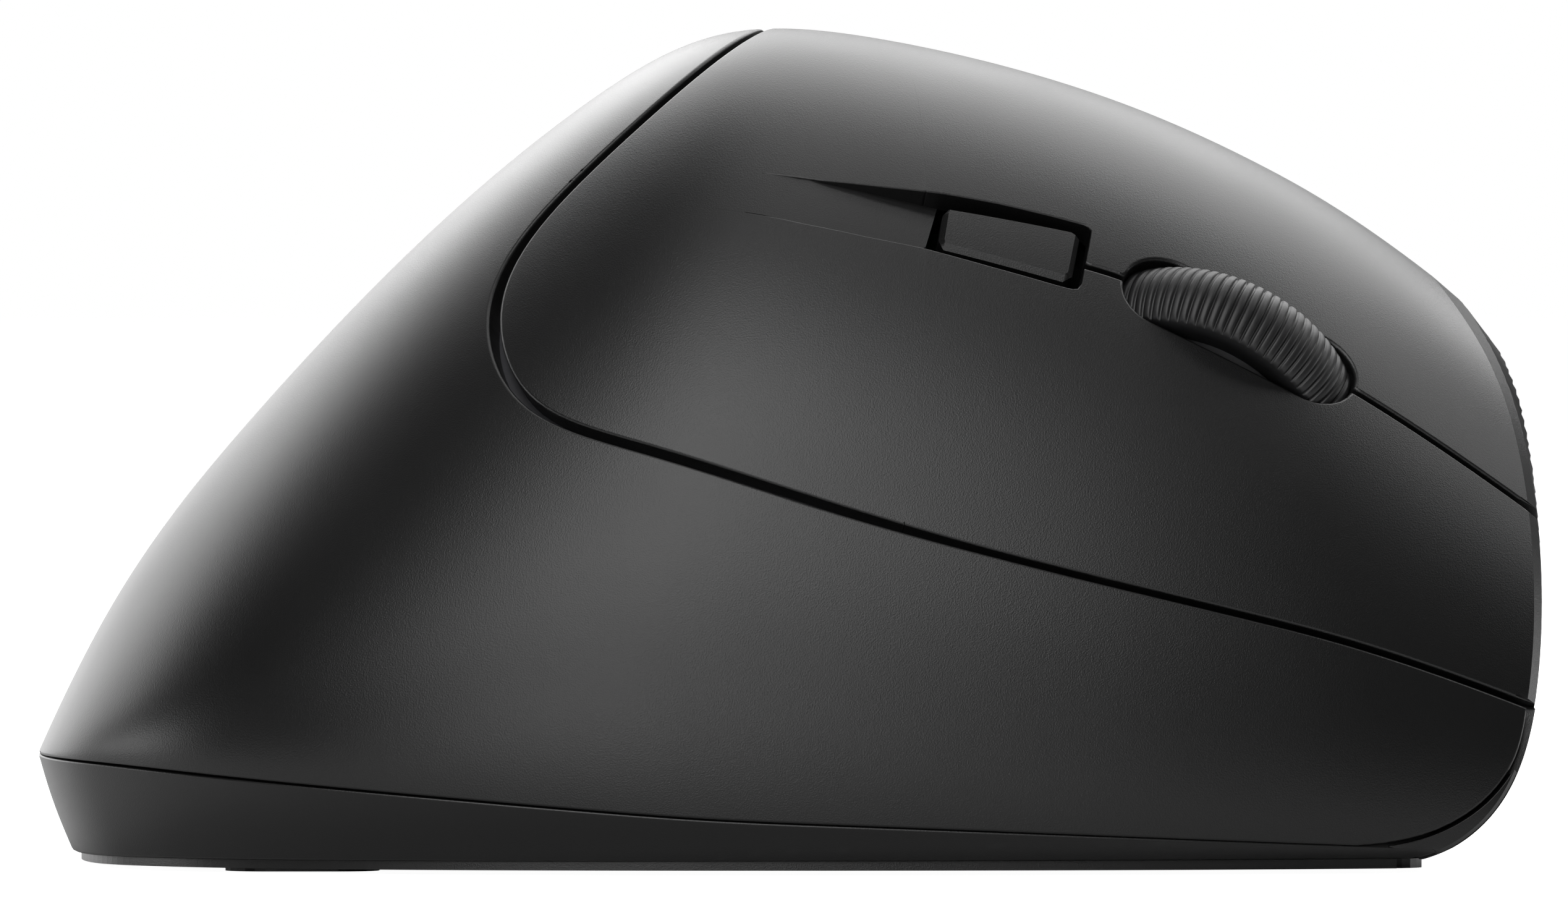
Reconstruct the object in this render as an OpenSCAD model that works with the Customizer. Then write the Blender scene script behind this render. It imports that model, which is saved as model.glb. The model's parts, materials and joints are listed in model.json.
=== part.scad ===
// Vertical ergonomic mouse for the right hand, in millimetres.
// X runs forward to the nose, Y to the thumb side, Z up; the feet stand on Z = 0.

/* [Shells] */
// Wall of the moulded shells
wall = 2; // [1.8:0.1:2.2]
// Width of the dark seam round the finger plate
seam_gap = 0.4; // [0.35:0.05:0.5]
// Depth of the front lip of the two keys
lip_depth = 5.7; // [5.2:0.1:6]
// How far the base skirt leans in towards the desk
skirt_lean = 2.6; // [2:0.2:3]
// Height at which the skirt ends above the desk
skirt_foot = 0.9; // [0.8:0.1:1]
// Height of the base floor above the desk
floor_low = 0.35; // [0.3:0.05:0.45]
// Thickness of the base floor
floor_t = 2; // [1.8:0.1:2]

/* [Keys] */
// Gap between the two keys
split_gap = 0.5; // [0.4:0.05:0.6]
// Gap at the flexing root of the keys
flex_gap = 0.3; // [0.2:0.05:0.4]
// Stroke of the key switches
key_stroke = 0.4; // [0.3:0.05:0.5]
// Stroke of the small buttons and of the wheel
click_stroke = 0.5; // [0.3:0.05:0.5]
// Room that a pressed key keeps from the thumb panel and the base
key_clear = 0.7; // [0.65:0.05:0.9]
// Gap round the resolution button
button_gap = 0.7; // [0.5:0.05:0.8]
// Gap round the thumb buttons
thumb_gap = 0.35; // [0.3:0.05:0.5]
// How far the thumb buttons stand out of the panel
thumb_rise = 0.9; // [0.6:0.1:1.2]

/* [Wheel] */
// Tyre diameter over the crown
wheel_d = 25; // [24:0.25:26]
// Tyre width
tyre_w = 6.2; // [5.8:0.1:6.2]
// How far the tyre stands out of the plate
wheel_rise = 3; // [2.7:0.1:3]
// Gap between the tyre and what lies round it
wheel_gap = 0.7; // [0.6:0.05:0.8]
// Number of ribs round the tyre
rib_count = 100; // [80:10:100]
// Depth of the grooves between the ribs
rib_depth = 0.35; // [0.2:0.05:0.4]
// Axle diameter
axle_d = 2.4; // [2.2:0.1:2.6]
// Radial running clearance of the axle
axle_clearance = 0.05; // [0.04:0.01:0.08]

/* [Power] */
// Cell diameter
cell_d = 10.5; // [10.2:0.1:10.5]
// Cell length with its nub
cell_l = 44.5; // [42:0.5:49.5]
// Gap round the battery door and other loose pieces
door_gap = 0.3; // [0.25:0.05:0.4]
// Travel of the power slider
power_travel = 2.5; // [2:0.1:2.5]

/* [Feet] */
// Thickness of the glide feet
foot_t = 0.7; // [0.6:0.05:0.8]
// Length of the rear feet
rear_foot_l = 11.4; // [10:0.2:11.4]
// Length of the front foot
front_foot_l = 14; // [13:0.5:14]

/* [Hidden] */
$fn = 48;
// a hair that keeps cuts from ending flush
hair = 0.01;

// Form of the body
// stations, tail to past the nose: x, right rim y, ridge y, ridge z, left rim y, hollow share, rim z
stations = [
  [-56, 0, 0, 8.2, 0, 0, 8.2],
  [-56, -16, 0, 8.2, 16, 0, 8.2],
  [-51, -25, 1, 20, 24.5, 0, 8],
  [-41, -32.5, 3, 32.5, 31, 0.1, 7],
  [-27, -36.5, 6, 47.5, 35, 0.4, 5.8],
  [-14, -37.8, 8, 58, 37, 0.8, 4.7],
  [-5, -38, 9, 63, 37.5, 1, 4],
  [6, -38, 9.5, 62, 37.5, 1, 3.6],
  [20, -37.2, 10, 58.8, 36.5, 1, 3],
  [34, -35.5, 9.5, 53.4, 34.5, 1, 2.4],
  [48, -32, 8, 45, 31, 1, 1.8],
  [64, -24, 5, 30, 25, 1, 1.2]
];
// right half of a section, rim to ridge: share of the way across and up
right_rows = [[0, 0], [-0.02, 0.14], [0.06, 0.42], [0.33, 0.76], [0.66, 0.97], [1, 1.01]];
// left half, ridge to rim, where the thumb hollow is full
hollow_rows = [[0.24, 0.97], [0.34, 0.78], [0.24, 0.45], [0.45, 0.16], [1, 0]];
// left half, ridge to rim, where the tail is round
round_rows = [[0.34, 0.97], [0.67, 0.76], [0.94, 0.42], [1.02, 0.14], [1, 0]];
// side outline of the nose, desk to ridge
nose_points = [
  [44, 0.4], [47, 0.8], [51, 2.5], [54.8, 8], [56.1, 18],
  [55.7, 28], [53.6, 37.5], [48.3, 45], [42, 52], [38, 58]
];
// seam between body and base where it turns up at the nose
nose_seam_points = [[42, 1.95], [45.5, 2.1], [49.5, 3.4], [53, 6.4], [54.4, 9.2], [54.8, 12.2]];
// rear edge of the finger plate, over the ridge and round to the nose, in the slanted plane
plate_points = [
  [-8, 64], [-10.5, 55], [-15, 46], [-24, 33], [-32, 24], [-35, 15],
  [-33, 4.5], [-25.5, 0], [-10, -5.4], [6, -8.5], [22, -10.2], [44, -10.6], [62, -10.4]
];
// line that parts the two keys, resolution button to nose, in the slanted plane
split_points = [[-9, 18.8], [5, 18.2], [10, 17.4], [28, 11.1], [44, 5.4], [60, 0]];
// upper and rear edge of the thumb panel, side view
thumb_points = [
  [-36, -4], [-33, 14], [-25, 31], [-12, 44.5], [6, 51], [24, 49.5], [40, 43], [52, 33.5], [64, 22]
];
// stations and rows at which the surface is sampled
tail_steps = [0.003, 0.012, 0.025, 0.04];
u_list = concat(tail_steps, [for (k = [0 : 39]) 0.06 + k * 0.0235], [0.99, 1]);
row_count = 34;

// Fits shared by several pieces
// gap between pieces that touch in use
touch = 0.05;
// room left under a part at the end of its stroke
stop_gap = 0.4;
// gap behind the lips of the keys
lip_gap = 0.9;
// side gap of a plunger in its bore
tact_gap = 0.15;

// Slanted frame of the finger plate
roll = 45;
pitch = 18;
// plate crown above the origin at the wheel, along the slanted frame
plate_top = 50.5;
board_top = 37;
board_t = 1.6;
// switch board edges in the slanted plane
board_rear = -9;
board_front = 36;
board_low = -5;
board_high = 31;

// Wheel place
wheel_r = wheel_d / 2;
wheel_a = 18.8;
wheel_w = 14.4;
wheel_h = plate_top + wheel_rise - wheel_r;
wheel_yaw = -19.5;
crown_r = 4.7;
hub_r = 9.6;
hub_w = 5.2;
// holes in the hub that the pulse pair counts
pulse_count = 12;
pulse_r = 7.2;
pulse_d = 1.8;
arm_in = 5;
arm_out = 7;
arm_low = board_top - wheel_h + click_stroke + stop_gap;
arm_top = 3;
arm_end = 3.5;
bar_in = -wheel_r - 1.2;
bar_out = bar_in - 2.3;
bar_low = -0.1;
bar_t = 2.6;
guide_d = 1.8;
guide_t = 4.5;
pulse_t = 1.8;
pulse_at = 5.6;
pulse_l = 4;
pulse_tall = 5;
wheel_tact_w = 3.6;
wheel_tact_tall = wheel_h - board_top - 1;
// opening in the keys: the tyre's chord at the plate, with room at both ends and sides
slot_end = 1.3;
slot_side = 0.3;
slot_l = 2 * sqrt(wheel_r * wheel_r - (wheel_r - wheel_rise) * (wheel_r - wheel_rise)) + 2 * slot_end;
slot_w = tyre_w + 2 * slot_side;

// Key switches
switch_a = 26;
upper_w = 25;
lower_w = 0;
switch_l = 12.8;
switch_w = 5.8;
switch_tall = 6.5;
plunger_a = -2;
plunger_out = 0.6;
plunger_in = 0.8;
key_rib_l = 2;
key_rib_w = 3;
key_rib_in = 0.55;
plunger_l = 2.6;
plunger_w = 1.4;
flex_a = -5.05;

// Resolution button
res_points = [[-4.2, 17.9], [5.8, 16], [6.6, 21.4], [-3.7, 22.1]];
res_stem_a = -1;
res_stem_w = 19.2;
res_cap_low = 47.3;
res_cap_t = 2;
res_cap_tilt = -4;
res_cap_taper = 0.94;
stem_d = 3;
stem_in = 0.7;
// recess that leads to the button, floor heights in the slanted frame
scoop_l = 12;
scoop_w = 4;
scoop_low = 47.9;
scoop_end_w = 1;
scoop_end_at = 21.4;
scoop_end_low = 47.6;
scoop_tall = 6;
tact_w = 4.5;
tact_tall = 3;
tact_out = 1;
tact_in = 0.6;
tact_d = 2.4;

// tab of the body that closes the nose between the keys and the thumb panel
tab_x = 50;
tab_y = 2;
tab_l = 10;
tab_top = 28;
key_room = key_clear + stop_gap;

// Thumb side
thumb_in = 8;
thumb_board_y = 9.6;
thumb_tact_tall = 3.5;
thumb_out = 0.7;
back_x = 2.5;
forward_x = 22;
thumb_z = 40.5;
thumb_half = 5.4;
thumb_d = 6;
thumb_tilt = -7;
post_d = 3;
post_z = 36;
rear_post_x = -2;
front_post_x = 29;
thumb_board_x = -5;
thumb_board_l = 36;
thumb_board_low = 33.5;
thumb_board_tall = 12;
thumb_board_t = 1.2;
thumb_stem_end = 17;
thumb_under = 0.6;

// Base
floor_top = floor_low + floor_t;
main_z = 6;
main_t = 1.4;
main_front = 41.5;
main_half = 21;
sensor_x = 26;
power_y = -16;
bay_rear = -46;
spring_room = 1.8;
nub_room = 2.2;
cell_rear = bay_rear + spring_room;
bay_front = cell_rear + cell_l + nub_room;
cell_apart = 0.7;
cell_lift = 0.4;
cell_y = (cell_d + cell_apart) / 2;
cell_z = floor_top + cell_d / 2 + cell_lift;
bay_half = cell_d + 1.5;
cradle_t = 1.5;
cradle_tall = 6.5;
nub_d = 3.8;
nub_l = 0.8;
contact_t = 0.4;
// cross-head screws from below and the posts they bite into
screw_x = -46.4;
screw_y = 19;
screw_d = 2;
screw_head_d = 4.4;
screw_head_t = 1.4;
screw_l = 9;
screw_sink = 1.2;
boss_d = 7.2;
boss_top = 6;
post_in_d = boss_d - 1;
// radio receiver: bare plug and cap in a pocket of the floor
receiver_x = -17.75;
receiver_y = -23;
plug_l = 13;
plug_w = 12;
plug_t = 4.4;
plug_up = 1.6;
cap_l = 6.5;
cap_w = 13.2;
cap_t = 6;
cap_up = 0.8;
cap_over = 0.5;
pocket_l = plug_l + cap_l - cap_over + 1;
pocket_w = cap_w + 2 * door_gap;
pocket_top = floor_low + cap_up + cap_t + door_gap;
pocket_wall = 1.2;
plug_front = receiver_x - pocket_l / 2 + plug_l + 0.5;
// glide feet in shallow pockets
rear_foot_x = -36;
rear_foot_y = 20;
rear_foot_w = 10;
front_foot_x = 40;
front_foot_w = 34;
foot_r = 3;
foot_fit = 0.05;
foot_frame = 0.9;
foot_over = 0.9;
// inset of the dark step under the skirt
step_in = 0.6;
// ribs under the switch board, and the main board between them
rib_t = 2;
rib_rear_x = bay_front + cradle_t + 0.5;
rib_front_x = main_front + 1;
rear_rib_y = -28;
rear_rib_w = 23;
front_rib_y = -24;
front_rib_w = 28;
sill_tall = 3;
main_rear = rib_rear_x + rib_t + 1.5;
// sensor over its lens, and the flat cable in front of it
sensor_w = 12;
sensor_t = 2.6;
lens_l = 18;
lens_w = 10;
lens_d = 7;
lens_core_d = 5;
window_l = 12;
window_w = 8;
ribbon_x = main_front - 1.3;
ribbon_y = -3;
ribbon_w = 7;
ribbon_t = 0.4;
// power switch and its slider
power_x = main_rear + 4;
power_l = 9;
power_w = 4;
slider_l = 2;
slider_w = 1.8;
slider_gap = 0.4;
slider_low = floor_low + 0.3;
// finger dish of the battery door
dish_x = -17;
dish_l = 20;
dish_w = 12;
dish_deep = 0.6;
door_under = 0.4;

// Smooth curves
function knot(i, n) = max(0, min(n - 3, i - 3));
function way(s, a, b) = b > a ? (s - a) / (b - a) : 0;
function share(i, k, s, n) = k == 0
  ? (s >= knot(i, n) && s < knot(i + 1, n) ? 1 : 0)
  : way(s, knot(i, n), knot(i + k, n)) * share(i, k - 1, s, n)
    + way(-s, -knot(i + k + 1, n), -knot(i + 1, n)) * share(i + 1, k - 1, s, n);
function shares(n, t) = [for (i = [0 : n - 1]) share(i, 3, min(t * (n - 3), n - 3.000001), n)];
function smooth(points, steps) = [for (k = [0 : steps]) shares(len(points), k / steps) * points];

// Surface of the body
function left_row(s, i) = round_rows[i] + s[5] * (hollow_rows[i] - round_rows[i]);
function section(s) = concat(
  [for (r = right_rows) [s[0], s[1] + r[0] * (s[2] - s[1]), s[6] + r[1] * (s[3] - s[6])]],
  [for (i = [0 : 4]) let (r = left_row(s, i))
    [s[0], s[2] + r[0] * (s[4] - s[2]), s[6] + r[1] * (s[3] - s[6])]]
);
net = [for (s = stations) section(s)];
guides = [for (j = [0 : len(net[0]) - 1]) [for (row = net) row[j]]];
row_shares = [for (k = [0 : row_count]) shares(len(guides), k / row_count)];
function ring(u) = let (c = [for (g = guides) shares(len(g), u) * g]) [for (s = row_shares) s * c];
skin = [for (u = u_list) ring(u)];
column_count = len(skin);
function unit(v) = v / norm(v);
function near(i, last) = max(0, min(last, i));
function outward(i, j) = unit(cross(
  skin[near(i + 1, column_count - 1)][j] - skin[near(i - 1, column_count - 1)][j],
  skin[i][near(j + 1, row_count)] - skin[i][near(j - 1, row_count)]
));
function pushed(i, d) = [for (j = [0 : row_count]) skin[i][j] + d * outward(i, j)];
function rim(side) = [for (r = skin) r[side]];
right_rim = rim(0);
left_rim = rim(row_count);
function flat_turn(line, i, side) = let (
  d = line[near(i + 1, column_count - 1)] - line[near(i - 1, column_count - 1)],
  t = unit([d[0], d[1]])
) side * [-t[1], t[0]];
function leaned(line, side) = [for (i = [0 : column_count - 1]) let (n = flat_turn(line, i, side))
  [line[i][0] + skirt_lean * n[0], line[i][1] + skirt_lean * n[1], skirt_foot]];
right_foot_line = leaned(right_rim, 1);
left_foot_line = leaned(left_rim, -1);

// closed solid through a list of rings with the same number of points
module rings(list) {
  n = len(list[0]);
  m = len(list);
  polyhedron(
    points = [for (r = list) each r],
    faces = concat(
      [for (i = [0 : m - 2]) for (j = [0 : n - 1]) let (k = (j + 1) % n) each [
        [i * n + j, (i + 1) * n + k, (i + 1) * n + j],
        [i * n + j, i * n + k, (i + 1) * n + k]
      ]],
      [[for (j = [n - 1 : -1 : 0]) j]],
      [[for (j = [0 : n - 1]) (m - 1) * n + j]]
    ),
    convexity = 8
  );
}

// body form from the rim up
module form() {
  rings([for (i = [0 : column_count - 1]) skin[i]]);
}

// body form moved in or out by a distance, between the stations, and carried down below the desk
module form_moved(d) {
  rings([for (i = [3 : column_count - 2]) let (p = (pushed(i, d) + pushed(i + 1, d)) / 2) concat(
    [[p[1][0], p[1][1], -9]],
    [for (j = [1 : row_count - 1]) p[j]],
    [[p[row_count - 1][0], p[row_count - 1][1], -9]]
  )]);
}

// skirt of the base from the rim down
module skirt_form() {
  rings([for (i = [0 : column_count - 1])
    [right_foot_line[i], right_rim[i], left_rim[i], left_foot_line[i]]]);
}

// body form and skirt in one
module whole_form() {
  rings([for (i = [0 : column_count - 1]) concat([right_foot_line[i]], skin[i], [left_foot_line[i]])]);
}

// side-view area drawn through the whole width
module through(area_depth = 80) {
  translate([0, area_depth, 0]) rotate([90, 0, 0]) linear_extrude(2 * area_depth) children();
}

module nose_area() {
  polygon(concat(smooth(nose_points, 26), [[38, 90], [-80, 90], [-80, -9], [44, -9]]));
}

// all that lies in front of the body seam at the nose
module nose_strip_area() {
  polygon(concat(smooth(nose_seam_points, 14), [[70, 12.2], [70, -9], [42, -9]]));
}

module inner_space() {
  intersection() {
    form_moved(-wall);
    through() offset(delta = -wall) nose_area();
  }
}

module slanted() {
  rotate([roll, 0, 0]) rotate([0, pitch, 0]) children();
}

module at_wheel() {
  slanted() translate([wheel_a, wheel_w, wheel_h]) rotate([0, 0, wheel_yaw]) children();
}

// dark seam drawn as a row of short rounded strokes
module stroke(points, width) {
  for (i = [0 : len(points) - 2])
    hull() {
      translate(points[i]) circle(d = width, $fn = 8);
      translate(points[i + 1]) circle(d = width, $fn = 8);
    }
}

// block in the slanted frame over an area of the finger plate
module plate_block(low = 14) {
  slanted() translate([0, 0, low]) linear_extrude(60) children();
}

module plate_area() {
  polygon(concat(smooth(plate_points, 40), [[62, 64]]));
}

module thumb_area() {
  polygon(concat(smooth(thumb_points, 24), [[64, -9], [-36, -9]]));
}

// block from inside the thumb wall outward
module thumb_block() {
  translate([0, thumb_in + 52, 0]) rotate([90, 0, 0]) linear_extrude(52) children();
}

module pill(l, w, h) {
  linear_extrude(h) hull() {
    translate([-l / 2 + w / 2, 0]) circle(d = w);
    translate([l / 2 - w / 2, 0]) circle(d = w);
  }
}

module rounded(l, w, r) {
  hull() for (x = [-1, 1]) for (y = [-1, 1])
    translate([x * (l / 2 - r), y * (w / 2 - r)]) circle(r = r, $fn = 24);
}

// upper skin of the mouse, walls only, with the body seam cut at the nose
module upper_skin() {
  difference() {
    intersection() {
      form();
      through() nose_area();
    }
    inner_space();
    through() nose_strip_area();
    foot_room();
  }
}

// room inside the body over the frame of the front foot
module foot_room() {
  room_l = front_foot_l + foot_frame + 2 * touch;
  intersection() {
    form_moved(-wall);
    translate([front_foot_x - room_l / 2, -60, -9]) cube([room_l, 120, 9 + floor_top + foot_over]);
  }
}

// skin under the finger plate with lips at the nose
module plate_skin() {
  difference() {
    intersection() {
      upper_skin();
      plate_block() plate_area();
    }
    form_moved(-lip_depth);
    plate_block() stroke(smooth(plate_points, 40), seam_gap);
    thumb_block() offset(delta = seam_gap / 2) thumb_area();
  }
}

module split_area() {
  polygon(concat(smooth(split_points, 14), [[60, 70], [-9, 70]]));
}

module key_cuts() {
  plate_block() stroke(smooth(split_points, 14), split_gap);
  plate_block() offset(delta = button_gap) polygon(res_points);
  plate_block() translate([flex_a, res_points[0][1] - button_gap])
    square([2, res_points[3][1] - res_points[0][1] + 2 * button_gap]);
  at_wheel() translate([0, 0, -6]) pill(slot_l, slot_w, 40);
  at_wheel() rotate([90, 0, 0]) cylinder(r = wheel_r + wheel_gap, h = slot_w - 2 * touch, center = true);
  translate([0, -key_room, 0]) thumb_block() offset(delta = key_clear) thumb_area();
  translate([0, 0, key_clear]) through() nose_strip_area();
  front_tab(key_room);
}

// tab of the body beside the thumb panel at the nose
module front_tab(grow) {
  translate([tab_x - grow, tab_y - grow, -grow])
    cube([tab_l + grow, thumb_in - tab_y + 2 * grow, tab_top + 2 * grow]);
}

module key_front() {
  plate_block() translate([flex_a + flex_gap / 2, -40]) square([90, 120]);
}

module key_rib(w) {
  rib_low = board_top + switch_tall + plunger_out + touch;
  slanted() translate([switch_a + plunger_a - key_rib_l / 2, w - key_rib_w / 2, rib_low])
    cube([key_rib_l, key_rib_w, plate_top - wall - key_rib_in - rib_low]);
}

module body_shell() {
  color("dimgray") difference() {
    union() {
      upper_skin();
      for (y = [-1, 1]) intersection() {
        translate([screw_x, y * screw_y, boss_top + touch]) cylinder(d = post_in_d, h = 40);
        form_moved(-wall / 2);
      }
    }
    difference() {
      plate_block() {
        plate_area();
        stroke(smooth(plate_points, 40), seam_gap);
      }
      form_moved(-lip_depth - lip_gap);
      front_tab(0);
    }
    thumb_block() offset(delta = seam_gap / 2) thumb_area();
    for (y = [-1, 1]) translate([screw_x, y * screw_y, boss_top - 1])
      cylinder(d = screw_d + 2 * touch, h = floor_low + screw_sink + screw_l + stop_gap - boss_top + 1);
  }
}

module thumb_outline(x, grow) {
  translate([x, thumb_z]) rotate(thumb_tilt) {
    for (k = [-4 : 3]) hull() {
      translate([k * thumb_half / 4, 0.02 * k * k]) circle(d = thumb_d + 2 * grow, $fn = 24);
      translate([(k + 1) * thumb_half / 4, 0.02 * (k + 1) * (k + 1)]) circle(d = thumb_d + 2 * grow, $fn = 24);
    }
  }
}

module thumb_panel() {
  color("gray") difference() {
    union() {
      intersection() {
        upper_skin();
        thumb_block() offset(delta = -seam_gap / 2) thumb_area();
      }
      for (x = [rear_post_x, front_post_x]) intersection() {
        translate([x, thumb_board_y + touch, post_z]) rotate([-90, 0, 0])
          cylinder(d = post_d, h = 20, $fn = 24);
        form_moved(-wall / 2);
      }
    }
    thumb_block() thumb_outline(back_x, thumb_gap);
    thumb_block() thumb_outline(forward_x, thumb_gap);
  }
}

module finger_plate() {
  color("dimgray") difference() {
    plate_skin();
    plate_block() translate([flex_a - flex_gap / 2, -40]) square([90, 120]);
    scoop();
  }
}

// tapered recess that leads to the resolution button
module scoop() {
  hull() {
    slanted() translate([flex_a, res_points[0][1], scoop_low]) cube([1, scoop_w, scoop_tall]);
    slanted() translate([flex_a - scoop_l, scoop_end_at, scoop_end_low])
      cube([scoop_end_w / 2, scoop_end_w, scoop_tall]);
  }
}

module upper_key() {
  color("dimgray") {
    difference() {
      intersection() {
        plate_skin();
        key_front();
        plate_block() split_area();
      }
      key_cuts();
    }
    key_rib(upper_w);
  }
}

module lower_key() {
  color("dimgray") {
    difference() {
      intersection() {
        plate_skin();
        key_front();
      }
      plate_block() split_area();
      key_cuts();
    }
    key_rib(lower_w);
  }
}

module resolution_button() {
  stem_low = board_top + tact_tall + tact_out + touch;
  color("dimgray") slanted() {
    translate([res_stem_a, res_stem_w, res_cap_low]) rotate([0, res_cap_tilt, 0])
      linear_extrude(res_cap_t, scale = res_cap_taper)
        translate([-res_stem_a, -res_stem_w]) polygon(res_points);
    translate([res_stem_a, res_stem_w, stem_low]) cylinder(d = stem_d, h = res_cap_low + stem_in - stem_low);
  }
}

module thumb_button(x) {
  low = thumb_board_y + thumb_tact_tall + thumb_out + touch;
  intersection() {
    difference() {
      form_moved(thumb_rise);
      form_moved(-wall - thumb_under);
    }
    thumb_block() thumb_outline(x, 0);
  }
  translate([x, low, thumb_z]) rotate([-90, 0, 0]) cylinder(d = stem_d, h = thumb_stem_end - low, $fn = 24);
}

module forward_button() {
  color("dimgray") thumb_button(forward_x);
}

module back_button() {
  color("dimgray") thumb_button(back_x);
}

module wheel_tyre() {
  color([0.15, 0.15, 0.15]) at_wheel() rotate([90, 0, 0]) intersection() {
    rotate_extrude() difference() {
      intersection() {
        translate([hub_r, -tyre_w / 2]) square([wheel_r - hub_r + 1, tyre_w]);
        translate([wheel_r - crown_r, 0]) circle(r = crown_r);
      }
      translate([0, -tyre_w]) square([hub_r, 2 * tyre_w]);
    }
    translate([0, 0, -tyre_w / 2 - 1]) linear_extrude(tyre_w + 2) difference() {
      polygon([for (k = [0 : 2 * rib_count - 1]) let (
        t = 180 * k / rib_count, r = wheel_r + hair - (k % 2) * rib_depth
      ) [r * cos(t), r * sin(t)]]);
      circle(r = hub_r - 1);
    }
  }
}

module wheel_hub() {
  color("gray") at_wheel() rotate([90, 0, 0]) {
    difference() {
      translate([0, 0, -hub_w / 2]) cylinder(r = hub_r, h = hub_w);
      for (k = [1 : pulse_count]) rotate(360 * k / pulse_count)
        translate([pulse_r, 0, -hub_w]) cylinder(d = pulse_d, h = 2 * hub_w);
    }
    translate([0, 0, -arm_out]) cylinder(d = axle_d, h = 2 * arm_out);
  }
}

module wheel_yoke() {
  color("silver") at_wheel() difference() {
    union() {
      for (t = [arm_in, -arm_out]) translate([bar_out, t, arm_low])
        cube([arm_end - bar_out, arm_out - arm_in, arm_top - arm_low]);
      translate([bar_out, -arm_out, bar_low]) cube([bar_in - bar_out, 2 * arm_out, bar_t]);
    }
    rotate([90, 0, 0]) translate([0, 0, -arm_out - 1])
      cylinder(d = axle_d + 2 * axle_clearance, h = 2 * arm_out + 2);
    for (t = [-1, 1]) translate([(bar_in + bar_out) / 2, t * guide_t, arm_low - 1])
      cylinder(d = guide_d + 2 * tact_gap, h = arm_top - arm_low + 2);
  }
}

module yoke_guides() {
  color("silver") at_wheel() for (t = [-1, 1])
    translate([(bar_in + bar_out) / 2, t * guide_t, board_top - wheel_h])
      cylinder(d = guide_d, h = wheel_h - board_top + 4);
}

module switch_board() {
  color("green") difference() {
    slanted() translate([board_rear, board_low, board_top - board_t])
      cube([board_front - board_rear, board_high - board_low, board_t]);
    at_wheel() translate([-wheel_r - wheel_gap, -tyre_w / 2 - wheel_gap, -wheel_r])
      cube([2 * (wheel_r + wheel_gap), tyre_w + 2 * wheel_gap, 2 * wheel_r]);
  }
}

module under_board() {
  slanted() translate([-90, -90, -90]) cube([180, 180, 90 + board_top - board_t]);
}

module switch_frame() {
  color("gray") {
    intersection() {
      translate([rib_rear_x, rear_rib_y, floor_top]) cube([rib_t, rear_rib_w, 60]);
      under_board();
    }
    intersection() {
      translate([rib_front_x, front_rib_y, floor_top]) cube([rib_t, front_rib_w, 60]);
      under_board();
    }
    translate([rib_rear_x + rib_t / 2, front_rib_y, floor_top])
      cube([rib_front_x - rib_rear_x, rib_t, sill_tall]);
  }
}

module key_switch(w) {
  slanted() translate([switch_a, w, board_top]) difference() {
    translate([-switch_l / 2, -switch_w / 2, 0]) cube([switch_l, switch_w, switch_tall]);
    translate([plunger_a, 0, switch_tall - plunger_in - key_stroke - stop_gap])
      translate([-plunger_l / 2 - tact_gap, -plunger_w / 2 - tact_gap, 0])
        cube([plunger_l + 2 * tact_gap, plunger_w + 2 * tact_gap, switch_tall]);
  }
}

module key_plunger(w) {
  slanted() translate([switch_a + plunger_a, w, board_top + switch_tall - plunger_in])
    translate([-plunger_l / 2, -plunger_w / 2, 0]) cube([plunger_l, plunger_w, plunger_in + plunger_out]);
}

module upper_switch() {
  color("black") key_switch(upper_w);
}

module upper_plunger() {
  color("red") key_plunger(upper_w);
}

module lower_switch() {
  color("black") key_switch(lower_w);
}

module lower_plunger() {
  color("red") key_plunger(lower_w);
}

// small square switch with a round bore for its plunger
module tact(width, tall) {
  difference() {
    translate([-width / 2, -width / 2, 0]) cube([width, width, tall]);
    translate([0, 0, tall - tact_in - click_stroke - stop_gap / 2])
      cylinder(d = tact_d + 2 * tact_gap, h = tall);
  }
}

module tact_plunger(tall, out) {
  translate([0, 0, tall - tact_in]) cylinder(d = tact_d, h = tact_in + out);
}

module at_wheel_switch() {
  at_wheel() translate([(bar_in + bar_out) / 2, 0, board_top - wheel_h]) children();
}

module wheel_switch() {
  color("black") at_wheel_switch() tact(wheel_tact_w, wheel_tact_tall);
}

module wheel_plunger() {
  color("white") at_wheel_switch() tact_plunger(wheel_tact_tall, 1 + bar_low - touch);
}

module resolution_switch() {
  color("black") slanted() translate([res_stem_a, res_stem_w, board_top]) tact(tact_w, tact_tall);
}

module resolution_plunger() {
  color("white") slanted() translate([res_stem_a, res_stem_w, board_top]) tact_plunger(tact_tall, tact_out);
}

module thumb_board() {
  color("green") translate([thumb_board_x, thumb_board_y - thumb_board_t, thumb_board_low])
    cube([thumb_board_l, thumb_board_t, thumb_board_tall]);
}

module at_thumb_switch(x) {
  translate([x, thumb_board_y, thumb_z]) rotate([-90, 0, 0]) children();
}

module forward_switch() {
  color("black") at_thumb_switch(forward_x) tact(tact_w, thumb_tact_tall);
}

module forward_plunger() {
  color("white") at_thumb_switch(forward_x) tact_plunger(thumb_tact_tall, thumb_out);
}

module back_switch() {
  color("black") at_thumb_switch(back_x) tact(tact_w, thumb_tact_tall);
}

module back_plunger() {
  color("white") at_thumb_switch(back_x) tact_plunger(thumb_tact_tall, thumb_out);
}

module pulse_block() {
  translate([pulse_at, 0, board_top - wheel_h]) cube([pulse_l, pulse_t, pulse_tall]);
}

module pulse_emitter() {
  color("black") at_wheel() translate([0, tyre_w / 2 + wheel_gap, 0]) pulse_block();
}

module pulse_detector() {
  color("black") at_wheel() translate([0, -tyre_w / 2 - wheel_gap - pulse_t, 0]) pulse_block();
}

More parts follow.
